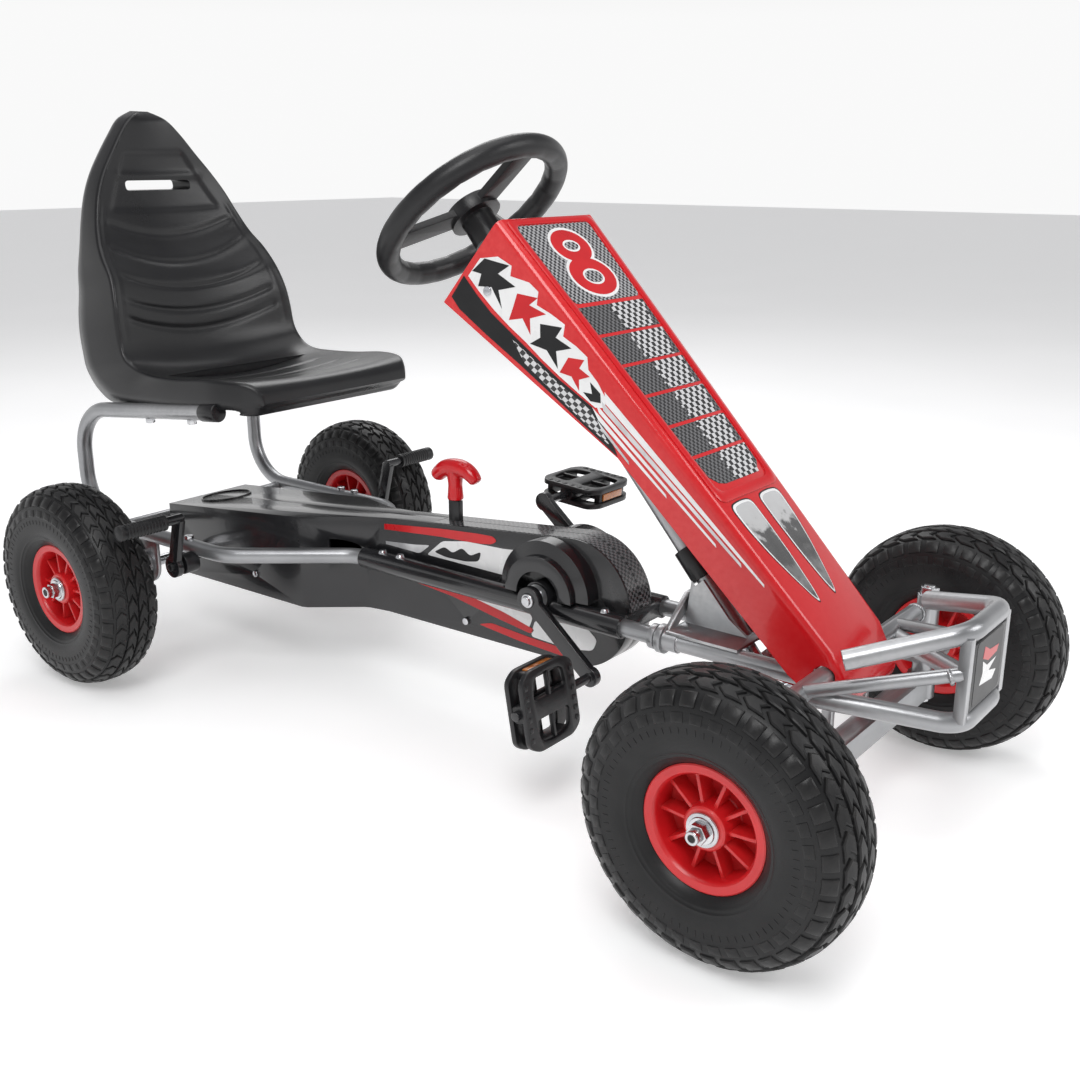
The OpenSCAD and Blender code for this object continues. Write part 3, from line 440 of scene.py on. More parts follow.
def rounded(outline, radius, steps=5):
    """A flat outline with its corners rounded off."""
    pts = [np.array(p, float) for p in outline]
    out = []
    for i, p in enumerate(pts):
        before, after = pts[i - 1], pts[(i + 1) % len(pts)]
        r = min(radius, 0.45 * np.linalg.norm(before - p), 0.45 * np.linalg.norm(after - p))
        out += soft_corner(before, p, after, r, steps)
    return out


def film(name, outline, place, look, body, lift=0.3, sink=0.5, v_scale=1.0):
    """A thin printed piece: outline in (u, v), place(u, v, height) in kart millimetres.

    v_scale is the length of one unit of v in millimetres, for the printed pattern."""
    bm = bmesh.new()
    uv = bm.loops.layers.uv.new("film")
    flat = {}
    for height in (lift, -sink):
        for i, (u, v) in enumerate(outline):
            flat[(height, i)] = bm.verts.new(kart(*place(u, v, height)))
    count = len(outline)
    top = bm.faces.new([flat[(lift, i)] for i in range(count)])
    for i in range(count):
        n = (i + 1) % count
        bm.faces.new([flat[(lift, i)], flat[(-sink, i)], flat[(-sink, n)], flat[(lift, n)]])
    for loop, (u, v) in zip(top.loops, outline):
        loop[uv].uv = (u, v * v_scale)
    bm.normal_update()
    bmesh.ops.triangulate(bm, faces=[top])
    bmesh.ops.recalc_face_normals(bm, faces=bm.faces)
    return finish_piece(new_object(name, mesh_from(bm, name)), look, body)


# ---------------- wheels

TREAD_PITCHES = 36


def carcass_profile(step):
    """(radius, across) of the tyre's outside below the tread blocks, bead to bead."""
    half_h, mid_r, half_w, power = 38, 89, 41, 0.76
    points = []
    for a in np.arange(-150, 150.1, step):
        c, s = math.cos(math.radians(a)), math.sin(math.radians(a))
        r = mid_r + half_h * math.copysign(abs(c) ** power, c)
        y = half_w * math.copysign(abs(s) ** power, s)
        ridge = sum(0.55 * math.exp(-((r - k) / 1.0) ** 2) for k in (66, 70, 97))
        points.append((r, y + math.copysign(ridge, y)))
    return points


def tyre_mesh():
    """Carcass with tread blocks, mould ridges and ticks, centred on the wheel's middle."""
    profile = np.array(carcass_profile(2.0))
    arc = np.concatenate([[0], np.cumsum(np.linalg.norm(np.diff(profile, axis=0), axis=1))])
    arc -= arc[-1] / 2
    slope = np.gradient(profile, axis=0)
    normal = np.stack([slope[:, 1], -slope[:, 0]], axis=1)
    normal /= np.linalg.norm(normal, axis=1)[:, None]
    sides = 120
    points = [(u, y, v) for r, y in profile for u, v in around(r, sides)]
    faces = skin(len(profile), sides)

    def on_tyre(theta, t, height):
        r = np.interp(t, arc, profile[:, 0]) + height * np.interp(t, arc, normal[:, 0])
        y = np.interp(t, arc, profile[:, 1]) + height * np.interp(t, arc, normal[:, 1])
        return (r * math.cos(theta), y, r * math.sin(theta))

    edges = [(0, -0.6), (0.05, 0.62), (0.14, 1.0), (0.5, 1.0), (0.86, 1.0), (0.95, 0.62), (1, -0.6)]

    def block(theta, t, wide, across, height, zig=0.0, lean=0.0):
        base, size = len(points), len(edges)
        for u, hu in edges:
            for v, hv in edges:
                low = min(hu, hv)
                rise = height * low if low > 0 else low
                swing = zig * (1 - 2 * abs(2 * v - 1))
                points.append(on_tyre(theta + wide * (u - 0.5) + lean * (v - 0.5) + swing,
                                      t + across * (v - 0.5), rise))
        for i in range(size - 1):
            for j in range(size - 1):
                a = base + i * size + j
                faces.append((a, a + 1, a + size + 1, a + size))

    pitch = 2 * math.pi / TREAD_PITCHES
    for k in range(TREAD_PITCHES):
        theta = k * pitch
        for side in (-1, 1):
            stagger = 0.25 * pitch * side
            block(theta + stagger, side * 6.8, 0.86 * pitch, 12.4, 2.9, 0.05, 0.05 * side)
            block(theta - stagger, side * 21.5, 0.8 * pitch, 13.5, 2.7, 0.03, -0.03 * side)
            block(theta + stagger, side * 38.0, 0.76 * pitch, 14.5, 1.9)
            block(theta - stagger, side * 53.5, 0.7 * pitch, 9.5, 0.8)
            for part in (0, 0.5):
                block(theta + stagger + part * pitch, side * 65, 0.010, 6, 0.4)
    mesh = bpy.data.meshes.new("tyre")
    mesh.from_pydata([Vector(p) * MM for p in points], [], faces)
    return face_outwards(mesh)


def rim_mesh():
    """Moulded rim: dished flanges, barrel, web, ribs and hub, centred on the wheel."""
    side = [(46.6, 0), (46.6, 24), (47.6, 27.2), (49.5, 29.2), (52, 29.6), (54.6, 29.5),
            (56.2, 30), (57.4, 29.2), (57.5, 27.4), (56.6, 26.6), (51, 26.4), (50.6, 25.6)]
    profile = side + [(r, -h) for r, h in reversed(side)][:-1]
    hub = [(14.2, 28), (18, 28), (19.6, 26.6), (20.4, 22), (20.8, 3), (22, 2), (46.8, 2),
           (46.8, -2), (22, -2), (20.8, -3), (20.4, -22), (19.6, -26.6), (18, -28), (14.2, -28)]
    place = lambda a, b, h: (a + FLOOR_MID_X, h, b)
    parts = [revolve("barrel", profile, place, 96, True), revolve("hub", hub, place, 64, True)]
    for k in range(10):
        turn = Matrix.Rotation(math.radians(36 * k), 4, "Y")
        outline = [(17, 21.5), (27, 20.4), (37, 19.3), (47.4, 18.2)]
        points, thick = [], (1.9, 1.6, 1.6, 1.9)
        for s in (-1, 1):
            for (r, h), t in zip(outline, thick):
                points += [turn @ Vector((r, h * s, t)), turn @ Vector((r, h * s, -t))]
        faces = []
        for i in range(3):
            a = 2 * i
            faces += [(a, a + 1, a + 3, a + 2), (8 + a, 8 + a + 2, 8 + a + 3, 8 + a + 1),
                      (a, a + 2, 8 + a + 2, 8 + a), (a + 1, 8 + a + 1, 8 + a + 3, a + 3)]
        faces += [(0, 8, 9, 1), (6, 7, 15, 14)]
        rib = mesh_object("rib", [(p.x + FLOOR_MID_X, p.y, p.z) for p in points], faces)
        parts.append(bevel(rib, 0.7, 30))
    return join("rim", parts)


def wheels():
    tyre, rim = tyre_mesh(), rim_mesh()
    for end in ("front", "rear"):
        for side in ("left", "right"):
            node = f"tyre_{end}_{side}"
            low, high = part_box(node)
            middle = (low + high) / 2
            for kind, mesh, look in (("tyre", tyre, "rubber"), ("rim", rim.data, "rim_red")):
                name = f"{kind}_{end}_{side}"
                obj = new_object(name + "_detail", mesh)
                obj.location = middle
                finish_piece(obj, look, BODY_OF[name], name, 30)
            wheel_end(end, side, middle)
    bpy.data.objects.remove(rim)


def wheel_end(end, side, middle):
    """Flanged washer and the hollow stud end on the outer side, the hollow shown by a disc of
    painted shade.
    """
    out = 1 if side == "left" else -1
    centre = middle / MM
    face = abs(centre.y) + HUB_FACE
    stud = 7 if end == "rear" else 6
    body = BODY_OF[f"rim_{end}_{side}"]

    def place(a, b, h):
        return (centre.x + FLOOR_MID_X + a, out * h, centre.z + b)

    washer = [(8, face), (14.4, face), (15.2, face + 0.6), (15.2, face + 1.6),
              (14, face + 2.3), (12.2, face + 2.6), (11.6, face + 3.8), (8, face + 4.2)]
    ring = revolve(f"washer_{end}_{side}", washer, place, 48, True)
    finish_piece(ring, "zinc", body)
    tip = face + WASHER_H + NUT_H + STUD_OUT
    hollow = [(stud + 0.15, tip - 4.5), (stud + 0.15, tip - 0.7), (stud - 0.5, tip + 0.1),
              (stud - 1.9, tip + 0.1), (stud - 2.5, tip - 0.3)]
    cup = revolve(f"stud_{end}_{side}", hollow, place, 40, True)
    rides = "rear_axle" if end == "rear" else f"knuckle_{side}"
    finish_piece(cup, "zinc", BODY_OF[rides])
    # Painted shade: a flat dark disc over the stud's end stands in for the shade inside its hollow.
    dark = revolve(f"stud_hollow_shade_{end}_{side}", [(stud - 2.3, tip - 0.6), (stud - 2.6, tip + 0.15),
                                                (0.5, tip + 0.2)], place, 32)
    finish_piece(dark, "dark", BODY_OF[rides])


# ---------------- seat

# edge of the seat from the top of the back to the front lip:
# x, z, half width, dish of the middle, x and z of the rear or lower corner
SEAT_PATH = np.array([
    [-131, 712, 8, 0, -152, 713], [-121, 702, 30, 2, -156, 702], [-116, 684, 48, 4, -156, 682],
    [-111, 657, 69, 6, -156, 655], [-105, 632, 88, 9, -153, 629], [-97, 607, 103, 12, -148, 603],
    [-87, 579, 115, 14, -143, 572], [-74, 553, 125, 16, -138, 540],
    [-55, 530, 134, 18, -136, 508], [-35, 504, 138, 20, -135, 478],
    [-24, 476, 143, 22, -134, 452], [-19, 450, 146, 22, -132, 428],
    [-14, 421, 147, 22, -128, 402], [-4, 404, 148, 22, -120, 376], [14, 394, 146, 20, -98, 350],
    [36, 390, 146, 18, -60, 337], [70, 390, 150, 17, 40, 340], [110, 392, 151, 16, 104, 344],
    [150, 396, 151, 14, 148, 347], [172, 397, 150, 12, 172, 350], [190, 397, 146, 9, 189, 352],
    [208, 396, 138, 6, 206, 352], [221, 391, 130, 3, 215, 354], [229, 382, 125, 1, 220, 360],
    [232, 370, 121, 0, 226, 364]], float)


def smooth_rows(rows, steps):
    """Catmull-Rom rows between the given rows."""
    out = []
    last = len(rows) - 1
    for i in range(last):
        p0, p1, p2, p3 = rows[max(i - 1, 0)], rows[i], rows[i + 1], rows[min(i + 2, last)]
        for k in range(steps):
            t = k / steps
            out.append(0.5 * (2 * p1 + (p2 - p0) * t + (2 * p0 - 5 * p1 + 4 * p2 - p3) * t ** 2
                              + (3 * p1 - p0 - 3 * p2 + p3) * t ** 3))
    return np.array(out + [rows[last]])


def bump_at(value, middle, width):
    return math.exp(-((value - middle) / width) ** 2)


def step_at(value, edge, width=2.0):
    return 1 / (1 + math.exp(-(value - edge) / (width / 2)))


def seat_relief(row, u):
    """Depth of the moulded grooves and recesses of the seat face at one point."""
    x, z, half = row[0], row[1], row[2]
    y = u * half
    depth = 0.0
    if x < 0:
        for k, level in enumerate((558, 527, 491, 456, 431)):
            reach = step_at(half * 0.84 - abs(y), 0, 5)
            curve = level + 15 * (y / 100) ** 2
            depth += 2.3 * bump_at(z, curve, 4.2) * reach
        side = bump_at(abs(y), half * 0.9, 1.9) * step_at(z, 428, 6) * step_at(590 - z, 0, 6)
        depth += 1.6 * side
        top, low, lean = 660, 588, (z - 588) / 72
        width = 86 - 40 * lean
        inside = (step_at(top - z, 0, 3) * step_at(z - low, 0, 3)
                  * step_at(width - abs(y), 0, 3))
        depth += 2.6 * inside
        depth -= 1.6 * bump_at(z, SEAT_SLOT_Z + 15, 5) * step_at(66 - abs(y), 0, 6)
    else:
        for level in (62, 104, 146):
            reach = step_at(half * 0.72 - abs(y), 0, 5)
            depth += 1.8 * bump_at(x, level + 10 * (y / 100) ** 2, 3.2) * reach
    return depth


def seat_ring(row, ahead, behind, inset=0.0, deep=0.0, detail=True):
    """One closed section: face with its relief, rounded side walls and rear corners."""
    along = unit(ahead[:2] - behind[:2])
    n = np.array([-along[1], along[0]])
    edge, rear, half = row[:2], row[4:6], row[2] - inset
    if deep:
        rear = edge - n * deep
    knee = edge * 0.3 + rear * 0.7
    face = []
    count = 48
    for k in range(-count, count + 1):
        u = k / count
        drop = row[3] * (1 - u * u) + inset
        if detail:
            drop += seat_relief(row, u)
        p = edge - n * drop
        face.append((p[0], half * u, p[1]))
    depth = float(np.linalg.norm(rear - edge))
    soft = min(7.0, 0.3 * depth, 0.5 * half)
    control = ([(np.array(face[-1]), soft), (np.array([knee[0], half, knee[1]]), 12),
                (np.array([rear[0], half * 0.9, rear[1]]), soft),
                (np.array([rear[0], -half * 0.9, rear[1]]), soft),
                (np.array([knee[0], -half, knee[1]]), 12), (np.array(face[0]), soft)])
    stops = [np.array(face[-9])] + [p for p, _ in control] + [np.array(face[8])]
    spans = [np.linalg.norm(q - p) for p, q in zip(stops[1:], stops[2:-1])]
    spans = [half / 2] + spans + [half / 2]
    ring = []
    for i, (p, radius) in enumerate(control):
        r = min(radius, 0.42 * spans[i], 0.42 * spans[i + 1])
        ring += soft_corner(stops[i], p, stops[i + 2], r, 5)
    inner = np.array([p for p in face if abs(p[1]) < half - 0.5 * soft])
    picks = np.linspace(0, len(inner) - 1, 84)
    even = [np.interp(picks, np.arange(len(inner)), inner[:, axis]) for axis in range(3)]
    return ring + list(np.stack(even, axis=1))


def seat_loft(name, rows, **options):
    rings = []
    for i, row in enumerate(rows):
        ahead, behind = rows[min(i + 1, len(rows) - 1)], rows[max(i - 1, 0)]
        rings.append(seat_ring(row, ahead, behind, **options))
    points = [tuple(p) for ring in rings for p in ring]
    return mesh_object(name, points, skin(len(rings), len(rings[0]), caps=True))


def slot_tool(half_height):
    """Rounded bar that cuts the handle slot through the backrest."""
    half = 52
    outline = rounded([(-half, -half_height), (half, -half_height), (half, half_height),
                       (-half, half_height)], half_height * 0.95, 6)
    points = [(x, y, SEAT_SLOT_Z + z) for x in (-200, -40) for y, z in outline]
    return mesh_object("slot_tool", points, skin(2, len(outline), caps=True))


def seat():
    rows = smooth_rows(SEAT_PATH, 13)
    shell = seat_loft("seat_detail", rows)
    pan = smooth_rows(SEAT_PATH[15:24], 3)
    hollow = seat_loft("pan_tool", pan, inset=5.0, deep=90.0, detail=False)
    cut(shell, slot_tool(6.5), hollow)
    finish_piece(shell, "plastic", BODY_OF["seat"], "seat", 50)


# ---------------- bonnet

BONNET_SIDE = [(566, 592), (495, 506), (712, 366), (905, 180), (940, 156), (960, 154),
               (968, 168), (945, 210)]
TOP_REAR, TOP_NOSE = np.array([566, 592.0]), np.array([945, 210.0])
TOP_LENGTH = float(np.linalg.norm(TOP_NOSE - TOP_REAR))
DOWN_TOP = (TOP_NOSE - TOP_REAR) / TOP_LENGTH
TOP_RUN = 0.704
OUT_TOP = np.array([-DOWN_TOP[1], DOWN_TOP[0]])


def bonnet_half(x):
    return 88 - 0.062 * (x - 480)


def on_top(s, y, height=0.0):
    """Point on the bonnet's top: s down the slope, y across."""
    p = TOP_REAR + DOWN_TOP * s + OUT_TOP * height
    return (p[0], y, p[1])


def side_height(s):
    return float(np.interp(s, [11, 263, 531, 573], [111, 55.5, 49.5, 41.6]))


def on_side(side):
    """Placement on a bonnet side: s down the slope, f from under the ridge (0) to the rim (1)."""
    def place(s, f, height=0.0):
        p = TOP_REAR + DOWN_TOP * s - OUT_TOP * (0.13 + 0.85 * f) * side_height(s)
        return (p[0], side * (bonnet_half(p[0]) + height), p[1])
    return place


def bonnet_block():
    """Outer skin of the bonnet with wide soft ridges, before it is hollowed."""
    bm = bmesh.new()
    rows = {s: [bm.verts.new(kart(x, s * bonnet_half(x), z)) for x, z in BONNET_SIDE]
            for s in (-1, 1)}
    count = len(BONNET_SIDE)
    for s in (-1, 1):
        bm.faces.new(rows[s])
    strips = []
    for i in range(count):
        n = (i + 1) % count
        strips.append(bm.faces.new([rows[-1][i], rows[-1][n], rows[1][n], rows[1][i]]))
    bmesh.ops.recalc_face_normals(bm, faces=bm.faces)
    bmesh.ops.delete(bm, geom=strips[:4], context="FACES_ONLY")
    ridge = [e for e in bm.edges if len(e.link_faces) == 2
             and e.calc_face_angle() > math.radians(20)]
    bmesh.ops.bevel(bm, geom=ridge, offset=9 * MM, offset_type="OFFSET", segments=5,
                    profile=0.5, affect="EDGES", clamp_overlap=True)
    obj = new_object("bonnet_detail", mesh_from(bm, "bonnet_detail"))
    return modify(obj, "SOLIDIFY", thickness=3 * MM, offset=-1, use_even_offset=True)


def bonnet():
    shell = bonnet_block()
    room, wide = 11.5, 120
    notch = box_object("notch", (AXLE_TUBE_X - room, -wide, 60),
                       (AXLE_TUBE_X + room, wide, AXLE_TUBE_Z))
    hole = revolve("hole", [(room, -wide), (room, wide)],
                   lambda a, b, h: (AXLE_TUBE_X + a, h, AXLE_TUBE_Z + b), 40)
    cut(shell, notch, hole)
    finish_piece(shell, "red", BODY_OF["bonnet"], "bonnet", 34)
    top_frame()
    top_film()
    for side, tag in SIDES:
        side_film(side, tag)


def top_half(s, inset):
    """Half width of the bonnet's top at s down its slope, less an inset."""
    return bonnet_half(TOP_REAR[0] + TOP_RUN * s) - inset


def panel_outline(inset, s0, s1):
    """Rounded outline of the top panel, inset from the bonnet's ridges."""
    half0, half1 = top_half(s0, inset), top_half(s1, inset)
    corners = [(s0, -half0), (s1, -half1), (s1, half1), (s0, half0)]
    return rounded(corners, 12, 6)


def top_frame():
    """Raised red border round the top panel."""
    outer, inner = panel_outline(9, 1, 364), panel_outline(18, 9, 353)
    rows = [(outer, -0.5), (outer, 1.1), ([o + (i - o) * 0.2 for o, i in zip(outer, inner)], 2.0),
            ([o + (i - o) * 0.82 for o, i in zip(outer, inner)], 2.0), (inner, 1.2), (inner, -0.5)]
    points = [on_top(s, y, h) for line, h in rows for s, y in line]
    obj = mesh_object("bonnet_frame", points, skin(len(rows), len(outer)))
    finish_piece(obj, "red", BODY_OF["bonnet"], None, 60)


def ring_outline(s, y, r_s, r_y):
    return [(s + r_s * u, y + r_y * v) for u, v in around(1, 40)]


def top_film():
    """Printed films on the top: race number, slats and the two lamp shapes."""
    body = BODY_OF["bonnet"]
    wide = lambda s: top_half(s, 20)
    film("film_number_field", rounded([(10, -wide(10)), (114, -wide(114)), (114, wide(114)),
                                       (10, wide(10))], 7), on_top, "film_silver", body)
    for look, grow, lift in (("print_white", 3.5, 0.5), ("print_red", 0, 0.7)):
        for part, (s, r_s, r_y) in enumerate(((41, 22, 30), (82, 25, 35))):
            film(f"number_{look}_{part}", ring_outline(s, 3, r_s + grow, r_y + grow), on_top,
                 look, body, lift + 0.08 * part)
    for part, (s, r_s, r_y) in enumerate(((41, 5.5, 11), (83, 8, 14))):
        film(f"number_edge_{part}", ring_outline(s, 3, r_s + 2.5, r_y + 2.5), on_top,
             "print_white", body, 0.85)
        film(f"number_eye_{part}", ring_outline(s, 3, r_s, r_y), on_top, "film_silver", body, 1.0)
    start, pitch, gap = 119, 38.5, 4
    for k in range(6):
        s0, s1 = start + k * pitch, start + (k + 1) * pitch - gap
        w0, w1 = wide(s0), wide(s1)
        outline = [(s0, -w0), (s1, -w1), (s1, w1), (s0, w0)]
        if k == 5:
            outline = [(s0, -w0), (s1 - 12, -w1), (s1 - 3, -w1 + 9), (s1, -w1 + 20),
                       (s1, w1 - 20), (s1 - 3, w1 - 9), (s1 - 12, w1), (s0, w0)]
        film(f"slat_{k}", outline, on_top, "film_carbon", body)
        cell = 5.2
        right = [(s0, w0 - 1), (s0, -4.0)]
        stairs = []
        s, y = s0, -4.0
        while s < s1 - cell:
            stairs += [(s + cell, y), (s + cell, y + (cell if len(stairs) % 4 else -cell))]
            s, y = stairs[-1]
        film(f"slat_check_{k}", right + stairs + [(s1, y), (s1, 0.45 * w1), (s1, w1 * 0.8)],
             on_top, "film_white", body, 0.5)
    lamp = [(368, -48), (366, -26), (368, -7), (400, -6.5), (440, -8), (478, -12), (494, -16),
            (486, -21), (462, -30), (430, -40), (400, -46)]
    for side, tag in SIDES:
        for look, shrink, lift in (("print_black", 1.0, 0.3), ("print_white", 0.95, 0.5),
                                   ("film_chrome", 0.86, 0.7)):
            mid = np.mean(np.array(lamp), axis=0)
            shape = [mid + (np.array(p) - mid) * (0.5 + shrink / 2, shrink) for p in lamp]
            shape = rounded([(s, -y * side) for s, y in shape], 9, 4)
            film(f"lamp_{look}_{tag}", shape, on_top, look, body, lift)


def side_film(side, tag):
    """Printed shapes on one side: jagged white field, dark band, shards and long spikes."""
    body = BODY_OF["bonnet"]
    place = on_side(side)
    shapes = [
        ("print_white", 0.3, [(12, .3), (26, .12), (44, .06), (50, .16), (70, .02), (84, .0), (92,
            .14), (110, .06), (128, .0), (135, .14), (152, .08), (168, .05), (178, .18), (194, .2),
            (210, .28), (218, .42), (210, .56), (186, .6), (160, .63), (135, .64), (110, .63), (85,
            .64), (60, .63), (35, .6), (14, .56)]),
        ("print_black", 0.3, [(10, .6), (34, .65), (60, .69), (110, .69), (160, .68), (208, .6),
            (230, .72), (256, .92), (262, 1.0), (214, .98), (170, .96), (120, .95), (70, .96), (30,
            .95), (14, .9)]),
        ("film_white", 0.5, [(96, .74), (160, .73), (206, .66), (228, .77), (248, .92), (214, .93),
            (170, .91), (124, .88)]),
        ("print_black", 0.5, [(16, .26), (42, .08), (38, .26), (62, .2), (50, .4), (66, .54), (42,
            .44), (30, .56), (24, .42), (14, .48)]),
        ("print_red", 0.5, [(68, .24), (88, .06), (86, .22), (106, .12), (96, .34), (108, .5), (90,
            .42), (80, .58), (74, .4)]),
        ("print_black", 0.5, [(108, .28), (128, .06), (130, .24), (150, .16), (140, .38), (154,
            .56), (132, .48), (114, .6), (118, .42)]),
        ("print_red", 0.5, [(154, .3), (168, .12), (170, .28), (184, .24), (178, .42), (186, .56),
            (170, .48), (158, .58)]),
        ("print_black", 0.5, [(188, .3), (204, .3), (211, .42), (202, .54), (190, .52), (198,
            .42)]),
        ("print_white", 0.4, [(206, .22), (215, .36), (452, .12), (450, .08)]),
        ("print_grey", 0.4, [(210, .38), (218, .48), (424, .27), (421, .22)]),
        ("print_white", 0.4, [(208, .5), (217, .58), (394, .46), (391, .42)]),
        ("print_white", 0.4, [(208, .6), (222, .7), (326, .68), (323, .64)]),
        ("print_grey", 0.4, [(220, .71), (232, .8), (276, .9), (273, .86)]),
    ]
    for k, (look, lift, outline) in enumerate(shapes):
        film(f"bonnet_{tag}_{k}", outline, place, look, body, lift, v_scale=75)


# ---------------- chain case

def case_films():
    """Prints on both sides of the case and on its rounded nose."""
    for side, tag in SIDES:
        body = BODY_OF[f"chain_case_{tag}"]
        place = lambda x, z, h=0.0: (x, side * (22 + h), z)
        shapes = [
            ("print_white", 0.3, [(398, 190), (424, 212), (462, 219), (520, 221), (545, 224), (548,
                216), (538, 206), (534, 189)]),
            ("print_grey", 0.3, [(292, 189), (340, 190), (386, 189), (404, 203), (380, 199), (330,
                194)]),
            ("print_red", 0.5, [(292, 206), (350, 211), (420, 217), (480, 220), (502, 223), (510,
                228), (504, 233), (480, 232), (420, 227), (350, 219), (292, 212)]),
            ("print_black", 0.5, [(410, 196), (428, 206), (440, 200), (456, 210), (468, 202), (486,
                211), (482, 198), (462, 194), (430, 193)]),
            ("print_red", 0.5, [(300, 153), (360, 152), (440, 145), (505, 134), (560, 126), (566,
                132), (520, 143), (446, 155), (360, 159), (300, 158)]),
            ("print_white", 0.3, [(440, 150), (500, 139), (556, 130), (563, 147), (545, 157), (470,
                158)]),
            ("print_red", 0.3, [(480, 119), (540, 113), (604, 110), (634, 112), (620, 119), (560,
                121), (500, 125)]),
            ("print_white", 0.5, [(560, 123), (616, 121), (648, 127), (654, 141), (640, 152), (590,
                149), (566, 144)]),
        ]
        for k, (look, lift, outline) in enumerate(shapes):
            film(f"case_{tag}_{k}", rounded(outline, 5, 3), place, look, body, lift)
        nose_film(side, tag, body)
        emblem(side, tag, body)


def nose_point(t):
    """Point and outward direction along the case top from x 400, round the nose."""
    start, tangent = np.array([400.0, 230.7]), np.array([622.0, 252.0])
    run = float(np.linalg.norm(tangent - start))
    if t <= run:
        along = (tangent - start) / run
        return start + along * t, np.array([-along[1], along[0]])
    a = math.radians(90) - (t - run) / 74
    out = np.array([math.cos(a), math.sin(a)])
    return np.array([622.0, 178.0]) + 74 * out, out


def nose_film(side, tag, body):
    """Fine checker strip that wraps over the front of the case, one half."""
    bm = bmesh.new()
    uv = bm.loops.layers.uv.new("film")
    steps = np.linspace(8, 350, 60)
    lines = []
    for t in steps:
        p, out = nose_point(t)
        p = p + out * 0.3
        lines.append([bm.verts.new(kart(p[0], side * y, p[1])) for y in (0.6, 19.5)])
    for i in range(len(steps) - 1):
        face = bm.faces.new([lines[i][0], lines[i][1], lines[i + 1][1], lines[i + 1][0]])
        for loop, (t, y) in zip(face.loops, ((steps[i], 0.6), (steps[i], 19.5),
                                             (steps[i + 1], 19.5), (steps[i + 1], 0.6))):
            loop[uv].uv = (t, y)
    obj = modify(new_object(f"case_nose_{tag}", mesh_from(bm, "nose")), "SOLIDIFY",
                 thickness=0.6 * MM, offset=0)
    finish_piece(obj, "film_carbon", body)


def emblem(side, tag, body):
    """Half of the plain oval moulded on the rear top of the case."""
    path = []
    for k in range(25):
        a = math.radians(180 * k / 24)
        x, y = -14 + 30 * math.cos(a), 36 * math.sin(a)
        path.append((x, side * max(y, 0.8), 187 + (x + 56) * 65 / 678 + 0.3))
    ring = sweep(f"case_oval_{tag}", path, 1.3, sides=10, start=(0, 0, 1))
    finish_piece(ring, "case", body)


# ---------------- frame and guard

def frame_tubes():
    loop_x, loop_r, seat_length, tilt = -59, 66, 214, math.radians(6)
    high, low = 266, 239
    rear = np.array([loop_x - loop_r * math.sin(tilt), SIDE_Y, high + loop_r * math.cos(tilt)])
    front = rear + seat_length * np.array([math.cos(tilt), 0, math.sin(tilt)])

    def arc(z, a0, a1):
        return [np.array([loop_x + loop_r * math.cos(math.radians(a)), SIDE_Y,
                          z + loop_r * math.sin(math.radians(a))])
                for a in np.arange(a0, a1 + 0.1, 6)]

    path = ([front] + arc(high, 96, 180) + arc(low, 180, 264)
            + bent_path([(loop_x, SIDE_Y, RAIL_Z), (162, SIDE_Y, RAIL_Z),
                         (297, RAIL_Y, RAIL_Z), (332, RAIL_Y, RAIL_Z)], [60, 50]))
    for side, tag in ((1, "left"), (-1, "right")):
        node = f"frame_side_{tag}"
        tube = sweep(node + "_detail", [(x, side * y, z) for x, y, z in path], 10, 1.8)
        finish_piece(tube, "silver", BODY_OF[node], node)
    hoops = {
        "bumper_upper": [(976, 100, 226), (1066, 42, 256), (1066, -42, 256), (976, -100, 226)],
        "bumper_lower": [(944, 96, 181), (1066, 46, 169), (1066, -46, 169), (944, -96, 181)]}
    for node, points in hoops.items():
        tube = sweep(node + "_detail", bent_path(points, [30, 30]), 9.5, 1.8, start=(0, 0, 1))
        finish_piece(tube, "silver", BODY_OF[node], node)
    welds()


def weld(name, centre, axis, radius, body, thick=1.9):
    """Uneven ring of weld metal round a joint."""
    axis = unit(np.array(axis, float))
    side = unit(np.cross(axis, (0.3, 0.5, 0.81)))
    other = np.cross(axis, side)
    points = []
    rings, sides = 56, 8
    for i in range(rings):
        t = 2 * math.pi * i / rings
        out = math.cos(t) * side + math.sin(t) * other
        size = thick * (1 + 0.22 * math.sin(9 * t) + 0.1 * math.sin(23 * t + 1))
        points += [np.array(centre) + out * (radius + 0.5 * u) + axis * v
                   for u, v in around(size, sides)]
    ring = mesh_object(name, points, skin(rings, sides, wrap=True))
    finish_piece(ring, "silver", body, None, 60)


def welds():
    body = BODY_OF["front_frame"]
    for side, tag in SIDES:
        weld(f"weld_rail_{tag}", (929.5, side * RAIL_Y, RAIL_Z), (1, 0, 0), 9.5, body)
        weld(f"weld_collar_{tag}", (771, side * RAIL_Y, RAIL_Z), (1, 0, 0), 9.5, body, 1.4)
        weld(f"weld_eye_{tag}", (941, side * 160, AXLE_TUBE_Z), (0, 1, 0), 10, body)
        weld(f"weld_brace_{tag}", (1056, side * 52, 215), (-0.83, side * 0.43, -0.35), 6.5, body)
        weld(f"weld_cross_{tag}", (-70, side * 136, 165), (0, 1, 0), 9,
             BODY_OF["rear_carrier"])


def guard_plate():
    refine("bumper_plate", "plastic", 1.2, 3)
    body = BODY_OF["bumper_plate"]
    place = lambda y, z, h=0.0: (GUARD_FACE_X + h, y, z)
    film("guard_field", rounded([(-34, 182), (34, 182), (34, 244), (-34, 244)], 6), place,
         "print_black", body)
    film("guard_wedge", [(-20, 200), (14, 196), (22, 203), (2, 208), (20, 216), (-4, 215),
                         (-16, 222), (-14, 210)], place, "print_white", body, 0.45)
    film("guard_stripe", [(-17, 225), (-2, 219), (20, 221), (24, 227), (0, 229), (-14, 236)],
         place, "print_red", body, 0.45)


# ---------------- steering

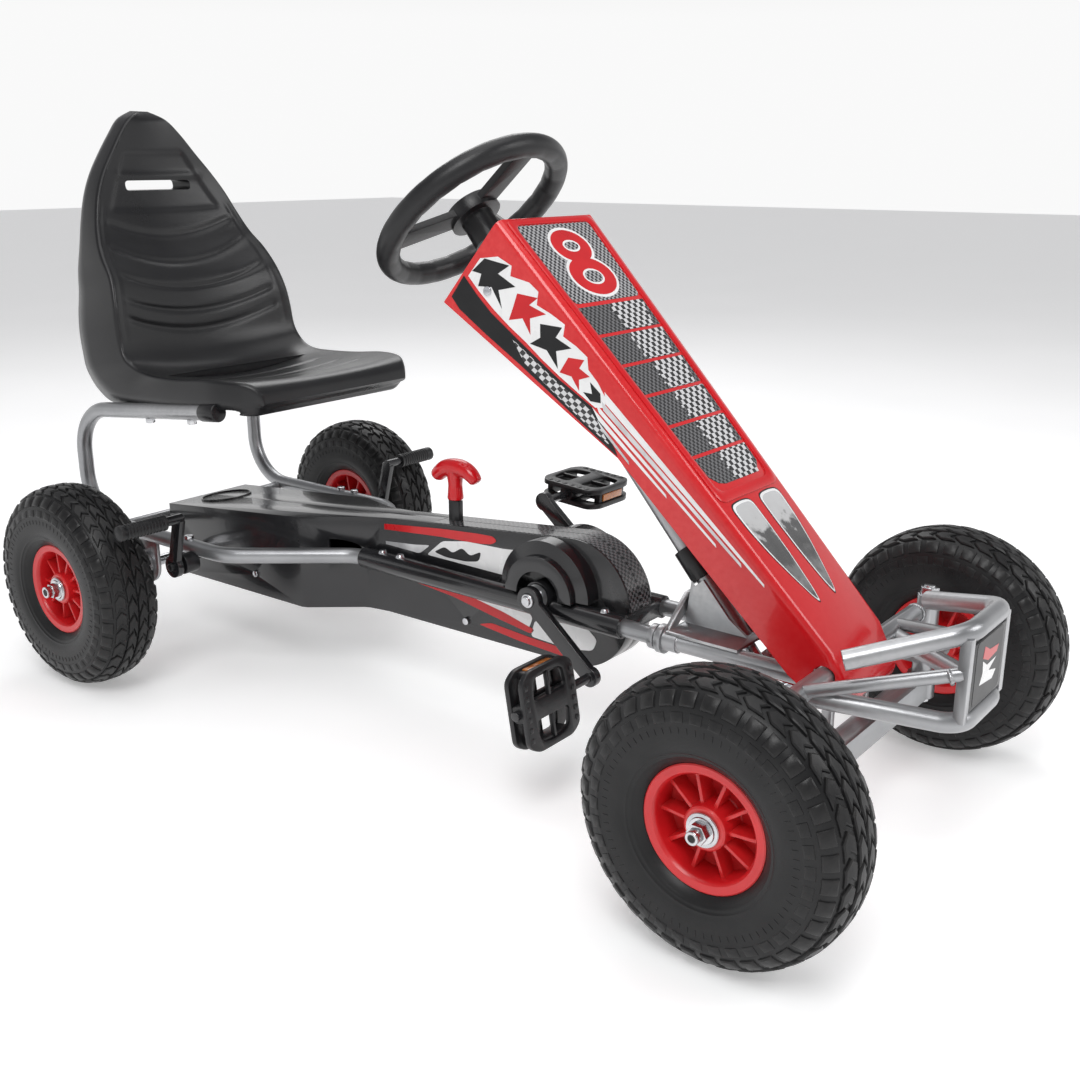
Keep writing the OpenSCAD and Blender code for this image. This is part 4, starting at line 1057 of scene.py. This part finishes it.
SLOPE = math.radians(49)
COLUMN = Matrix(((math.sin(SLOPE), 0, math.cos(SLOPE), 462), (0, -1, 0, 0),
                 (math.cos(SLOPE), 0, -math.sin(SLOPE), 594), (0, 0, 0, 1)))


def on_column(x, y, z):
    p = COLUMN @ Vector((x, y, z))
    return (p.x, p.y, p.z)


def steering():
    body = BODY_OF["steering_wheel_rim"]
    points = []
    rings, tube = 144, 28
    for i in range(rings):
        a = 2 * math.pi * i / rings
        dip = 0.8 * (0.5 - 0.5 * math.cos(a * 24)) ** 4
        for u, v in around(1, tube):
            r = STEER_GRIP_R - dip * (0.5 - 0.5 * u)
            reach = STEER_RING_R + r * u
            points.append(on_column(reach * math.cos(a), reach * math.sin(a), r * v))
    rim = mesh_object("steering_wheel_rim_detail", points, skin(rings, tube, wrap=True))
    finish_piece(rim, "grip", body, "steering_wheel_rim", 60)
    refine("steering_wheel_spider", "plastic", 2.4, 3)
    cap = [(22, -8), (22, -9.4), (20.5, -10.4), (16, -10.8), (15, -10.2), (14, -10.8), (4, -11.6),
           (0.6, -11.7)]
    finish_piece(revolve("wheel_cap", cap, on_column, 48), "case", body)
    for k in range(3):
        a = math.radians((0, 115, 245)[k])
        head = [(4.2, -4), (4.2, -5.4), (3.4, -6.0), (2.2, -6.1), (2, -5.2), (0.4, -5.2)]
        place = lambda u, v, h, a=a: on_column(62 * math.cos(a) + u, 62 * math.sin(a) + v, h)
        finish_piece(revolve(f"wheel_screw_{k}", head, place, 24), "zinc", body)
        tab = sweep(f"spoke_rib_{k}", [on_column(r * math.cos(a), r * math.sin(a), -4.2)
                                       for r in (30, 54)], 2.2, sides=12)
        finish_piece(tab, "plastic", body)
    refine("steering_shaft", "zinc", 0.8)


# ---------------- pedals and levers

def slab(name, outline, low, high, turn):
    """A flat outline in x and y, thickened from low to high and placed by turn."""
    points = [tuple(turn @ Vector((x, y, z))) for z in (low, high) for x, y in outline]
    return mesh_object(name, points, skin(2, len(outline), caps=True))


def pedal(tag, side, angle):
    """Two treads with windows and grip teeth, end walls, barrel and amber reflectors."""
    reach, low = CRANK_LEN * math.cos(CRANK_ANGLE), CRANK_LEN * math.sin(CRANK_ANGLE)
    turn = (Matrix.Translation((CRANK_X - side * reach, side * 149, CRANK_Z + side * low))
            @ Matrix.Rotation(math.radians(angle), 4, "Y"))
    body = BODY_OF[f"pedal_{tag}"]
    parts = []
    outline = rounded([(-43, -28), (-34, -42), (34, -42), (43, -28), (43, 28), (34, 42),
                       (-34, 42), (-43, 28)], 7, 5)
    for face in (-1, 1):
        tread = slab("tread", outline, *sorted((face * 6, face * 12.2)), turn)
        windows = []
        for edge in (-1, 1):
            window = rounded([(edge * 10, -27), (edge * 10, -5), (edge * 10, 5), (edge * 10, 27),
                              (edge * 32, 24), (edge * 36, 10), (edge * 36, -10),
                              (edge * 32, -24)], 6, 4)
            windows.append(slab("window", window, -20, 20, turn))
        parts.append(bevel(cut(tread, *windows), 1.0, 35))
        for edge in (-1, 1):
            bar = box_object("bar", (edge * 22 - 13, -1.8, face * 9 - 2.6),
                             (edge * 22 + 13, 1.8, face * 9 + 2.6), turn)
            parts.append(bevel(bar, 0.8, 30))
            for k in range(6):
                x, z = -27.5 + 11 * k, face * 11.8
                tooth = box_object("tooth", (x - 3, edge * 37 - 2.6, z - 1.2),
                                   (x + 3, edge * 37 + 2.6, z + 1.2), turn)
                parts.append(bevel(tooth, 1.0, 30))
    for edge in (-1, 1):
        wall = box_object("wall", (edge * 36 - 4, -26, -9), (edge * 36 + 4, 26, 9), turn)
        parts.append(bevel(wall, 1.2, 30))
    barrel = [(6, -41), (9, -41), (10, -39.5), (10, -18), (8.6, -15), (8.6, 15), (10, 18),
              (10, 39.5), (9, 41), (6, 41)]
    parts.append(revolve("barrel", barrel, lambda a, b, h: tuple(turn @ Vector((a, h, b))), 32))
    finish_piece(join(f"pedal_{tag}_detail", parts), "plastic", body, f"pedal_{tag}")
    for edge, name in ((-1, "rear"), (1, "front")):
        lens = box_object("lens", (edge * 40.4 - 1.2, -20, -4.6), (edge * 40.4 + 1.2, 20, 4.6),
                          turn)
        finish_piece(rename(bevel(lens, 1.0, 30, 3), f"reflector_{name}_{tag}"), "amber", body)


def rename(obj, name):
    obj.name = obj.data.name = name
    return obj


def brake_grip(tag, side):
    """Ribbed rubber sleeve with a flange at its inner end and a domed outer end."""
    profile = [(6.2, 205), (10, 205), (10, 208), (8.9, 209)]
    for k in range(11):
        y = 211 + 4.6 * k
        profile += [(8.7, y), (9.7, y + 0.9), (9.7, y + 2.6), (8.7, y + 3.5)]
    profile += [(9.4, 263), (9.9, 265), (9.6, 269), (7, 271), (2, 271.2)]
    place = lambda a, b, h: (130 + a, side * h, 224 + b)
    grip = revolve(f"brake_grip_{tag}_detail", profile, place, 40)
    node = f"brake_grip_{tag}"
    finish_piece(grip, "grip", BODY_OF[node], node)


def gear_knob():
    """Curved T grip: a drooping bar with rounded ends on a tapering stem."""
    spine = smooth_rows(np.array([[396.5, 283], [403, 290], [414, 297], [430, 300], [445, 298],
                                  [455, 292], [461, 285]], float), 6)
    sizes = np.interp(np.linspace(0, 1, len(spine)), [0, 0.08, 0.3, 0.55, 0.8, 0.95, 1],
                      [5, 9, 10.5, 10.5, 9, 7.5, 4])
    points, sides = [], 28
    for i, (p, size) in enumerate(zip(spine, sizes)):
        ahead, behind = spine[min(i + 1, len(spine) - 1)], spine[max(i - 1, 0)]
        along = unit(ahead - behind)
        n = np.array([-along[1], along[0]])
        for u, v in around(size, sides):
            q = p + n * u
            points.append((q[0], 1.1 * v, q[1]))
    bar = mesh_object("bar", points, skin(len(spine), sides, caps=True))
    stem_profile = [(9.6, 260), (10, 262), (9.4, 268), (8.6, 278), (9.6, 287), (10.5, 296)]
    stem = revolve("stem", stem_profile, lambda a, b, h: (427 + a, b, h), 40)
    knob = join("gear_knob_detail", [bar, stem])
    modify(knob, "REMESH", mode="VOXEL", voxel_size=1.0 * MM)
    modify(knob, "SMOOTH", iterations=12, factor=0.6)
    finish_piece(knob, "red", BODY_OF["gear_knob"], "gear_knob", 80)


def moving_parts():
    pedal("left", 1, 4)
    pedal("right", -1, 80)
    gear_knob()
    refine("gear_lever", "plastic", 1.2)
    for side, tag in ((1, "left"), (-1, "right")):
        refine(f"brake_lever_{tag}", "black", 1.8, 3)
        brake_grip(tag, side)
        refine(f"knuckle_{tag}", "silver", 0.8)
        refine(f"tie_rod_{tag}", "zinc", 0.7)
        refine(f"front_{tag}_nut", "zinc", 0.7)
    refine("crank_arms", "black", 1.6, 3)
    refine("crank_axle", "zinc", 1.0)
    refine("rear_axle_nuts", "zinc", 0.7)


def fixed_parts():
    for node, look, width in (
            ("rear_carrier", "silver", 0.8), ("centre_frame", "black", 1.0),
            ("front_frame", "silver", 0.8), ("kingpins", "zinc", 0.9),
            ("column_base", "steel", 0.8), ("column_tube", "silver", 0.5),
            ("column_bushes", "plastic", 1.2), ("bumper_braces", "silver", 1.0),
            ("cover_screws", "zinc", 0.7), ("chain_case_right", "case", 1.1),
            ("chain_case_left", "case", 1.1), ("frame_bolts", "zinc", 0.7),
            ("tube_end_caps", "plastic", 2.5), ("brake_brackets", "plastic", 1.2)):
        made = refine(node, look, width)
        if node == "frame_bolts":
            cut(made, box_object("above_seat_tube", (10, -170, 352), (140, 170, 420)))
    for node, look in (("rear_axle_bearings", "steel"), ("crank_bearings", "steel"),
                       ("chain", "steel"), ("bearings_front_left", "steel"),
                       ("bearings_front_right", "steel"), ("bearings_rear_right", "steel"),
                       ("rear_axle", "zinc"), ("rear_sprocket", "steel"),
                       ("chainring", "steel")):
        carry_over(node, look)


# ---------------- stage

def stage():
    bpy.ops.mesh.primitive_plane_add(size=30)
    floor = bpy.context.object
    floor.name = "floor"
    floor.data.materials.append(material("floor_white", (0.86, 0.86, 0.86), (0.9, 0.9, 0.9),
                                         0.75, patch=2, bump=0.01, specular=0.1))
    glow = floor.data.materials[0].node_tree.nodes["Principled BSDF"]
    glow.inputs["Emission Color"].default_value = (1, 1, 1, 1)
    glow.inputs["Emission Strength"].default_value = 0.3
    world = bpy.data.worlds.new("studio")
    bpy.context.scene.world = world
    world.use_nodes = True
    sky_light(world.node_tree)
    for place, size, power in (((0.9, -1.5, 2.3), 1.2, 30), ((2.4, 0.9, 1.9), 1.2, 20),
                               ((-1.6, 1.6, 2.2), 1.4, 18), ((0.0, 0.0, 3.0), 2.4, 26)):
        light = bpy.data.lights.new("soft_light", "AREA")
        light.shape = "SQUARE"
        light.size, light.energy = size, power
        lamp = bpy.data.objects.new("soft_light", light)
        lamp.location = place
        aim = Vector((0, 0, 0.3)) - lamp.location
        lamp.rotation_euler = aim.to_track_quat("-Z", "Y").to_euler()
        bpy.context.scene.collection.objects.link(lamp)


def sky_light(tree):
    """Bright at the horizon and dimmer overhead, so that dark parts keep their depth."""
    coords = add(tree, "TexCoord")
    split = add(tree, "SeparateXYZ")
    ramp = add(tree, "ValToRGB")
    set_ramp(ramp, (0.1, (0.95, 0.95, 0.95)), (0.5, (0.3, 0.3, 0.31)))
    tree.links.new(coords.outputs["Generated"], split.inputs["Vector"])
    tree.links.new(split.outputs["Z"], ramp.inputs["Fac"])
    tree.links.new(ramp.outputs["Color"], tree.nodes["Background"].inputs["Color"])


def camera():
    """Camera at the catalogue view: front right, a little above."""
    azimuth, elevation = math.radians(38.169), math.radians(17.182)
    back = Vector((math.cos(elevation) * math.sin(azimuth),
                   -math.cos(elevation) * math.cos(azimuth), math.sin(elevation)))
    right = Vector((math.cos(azimuth), math.sin(azimuth), 0))
    up = back.cross(right)
    data = bpy.data.cameras.new("view")
    data.lens, data.sensor_width = 41.12, 36
    data.clip_start, data.clip_end = 0.05, 50
    view = bpy.data.objects.new("view", data)
    turn = Matrix((right, up, back)).transposed().to_4x4()
    view.matrix_world = Matrix.Translation((0.93049, -1.06184, 0.65087)) @ turn
    bpy.context.scene.collection.objects.link(view)
    bpy.context.scene.camera = view
    bpy.context.scene.view_settings.view_transform = "Standard"


wheels()
seat()
bonnet()
fixed_parts()
case_films()
frame_tubes()
guard_plate()
steering()
moving_parts()
stage()
camera()
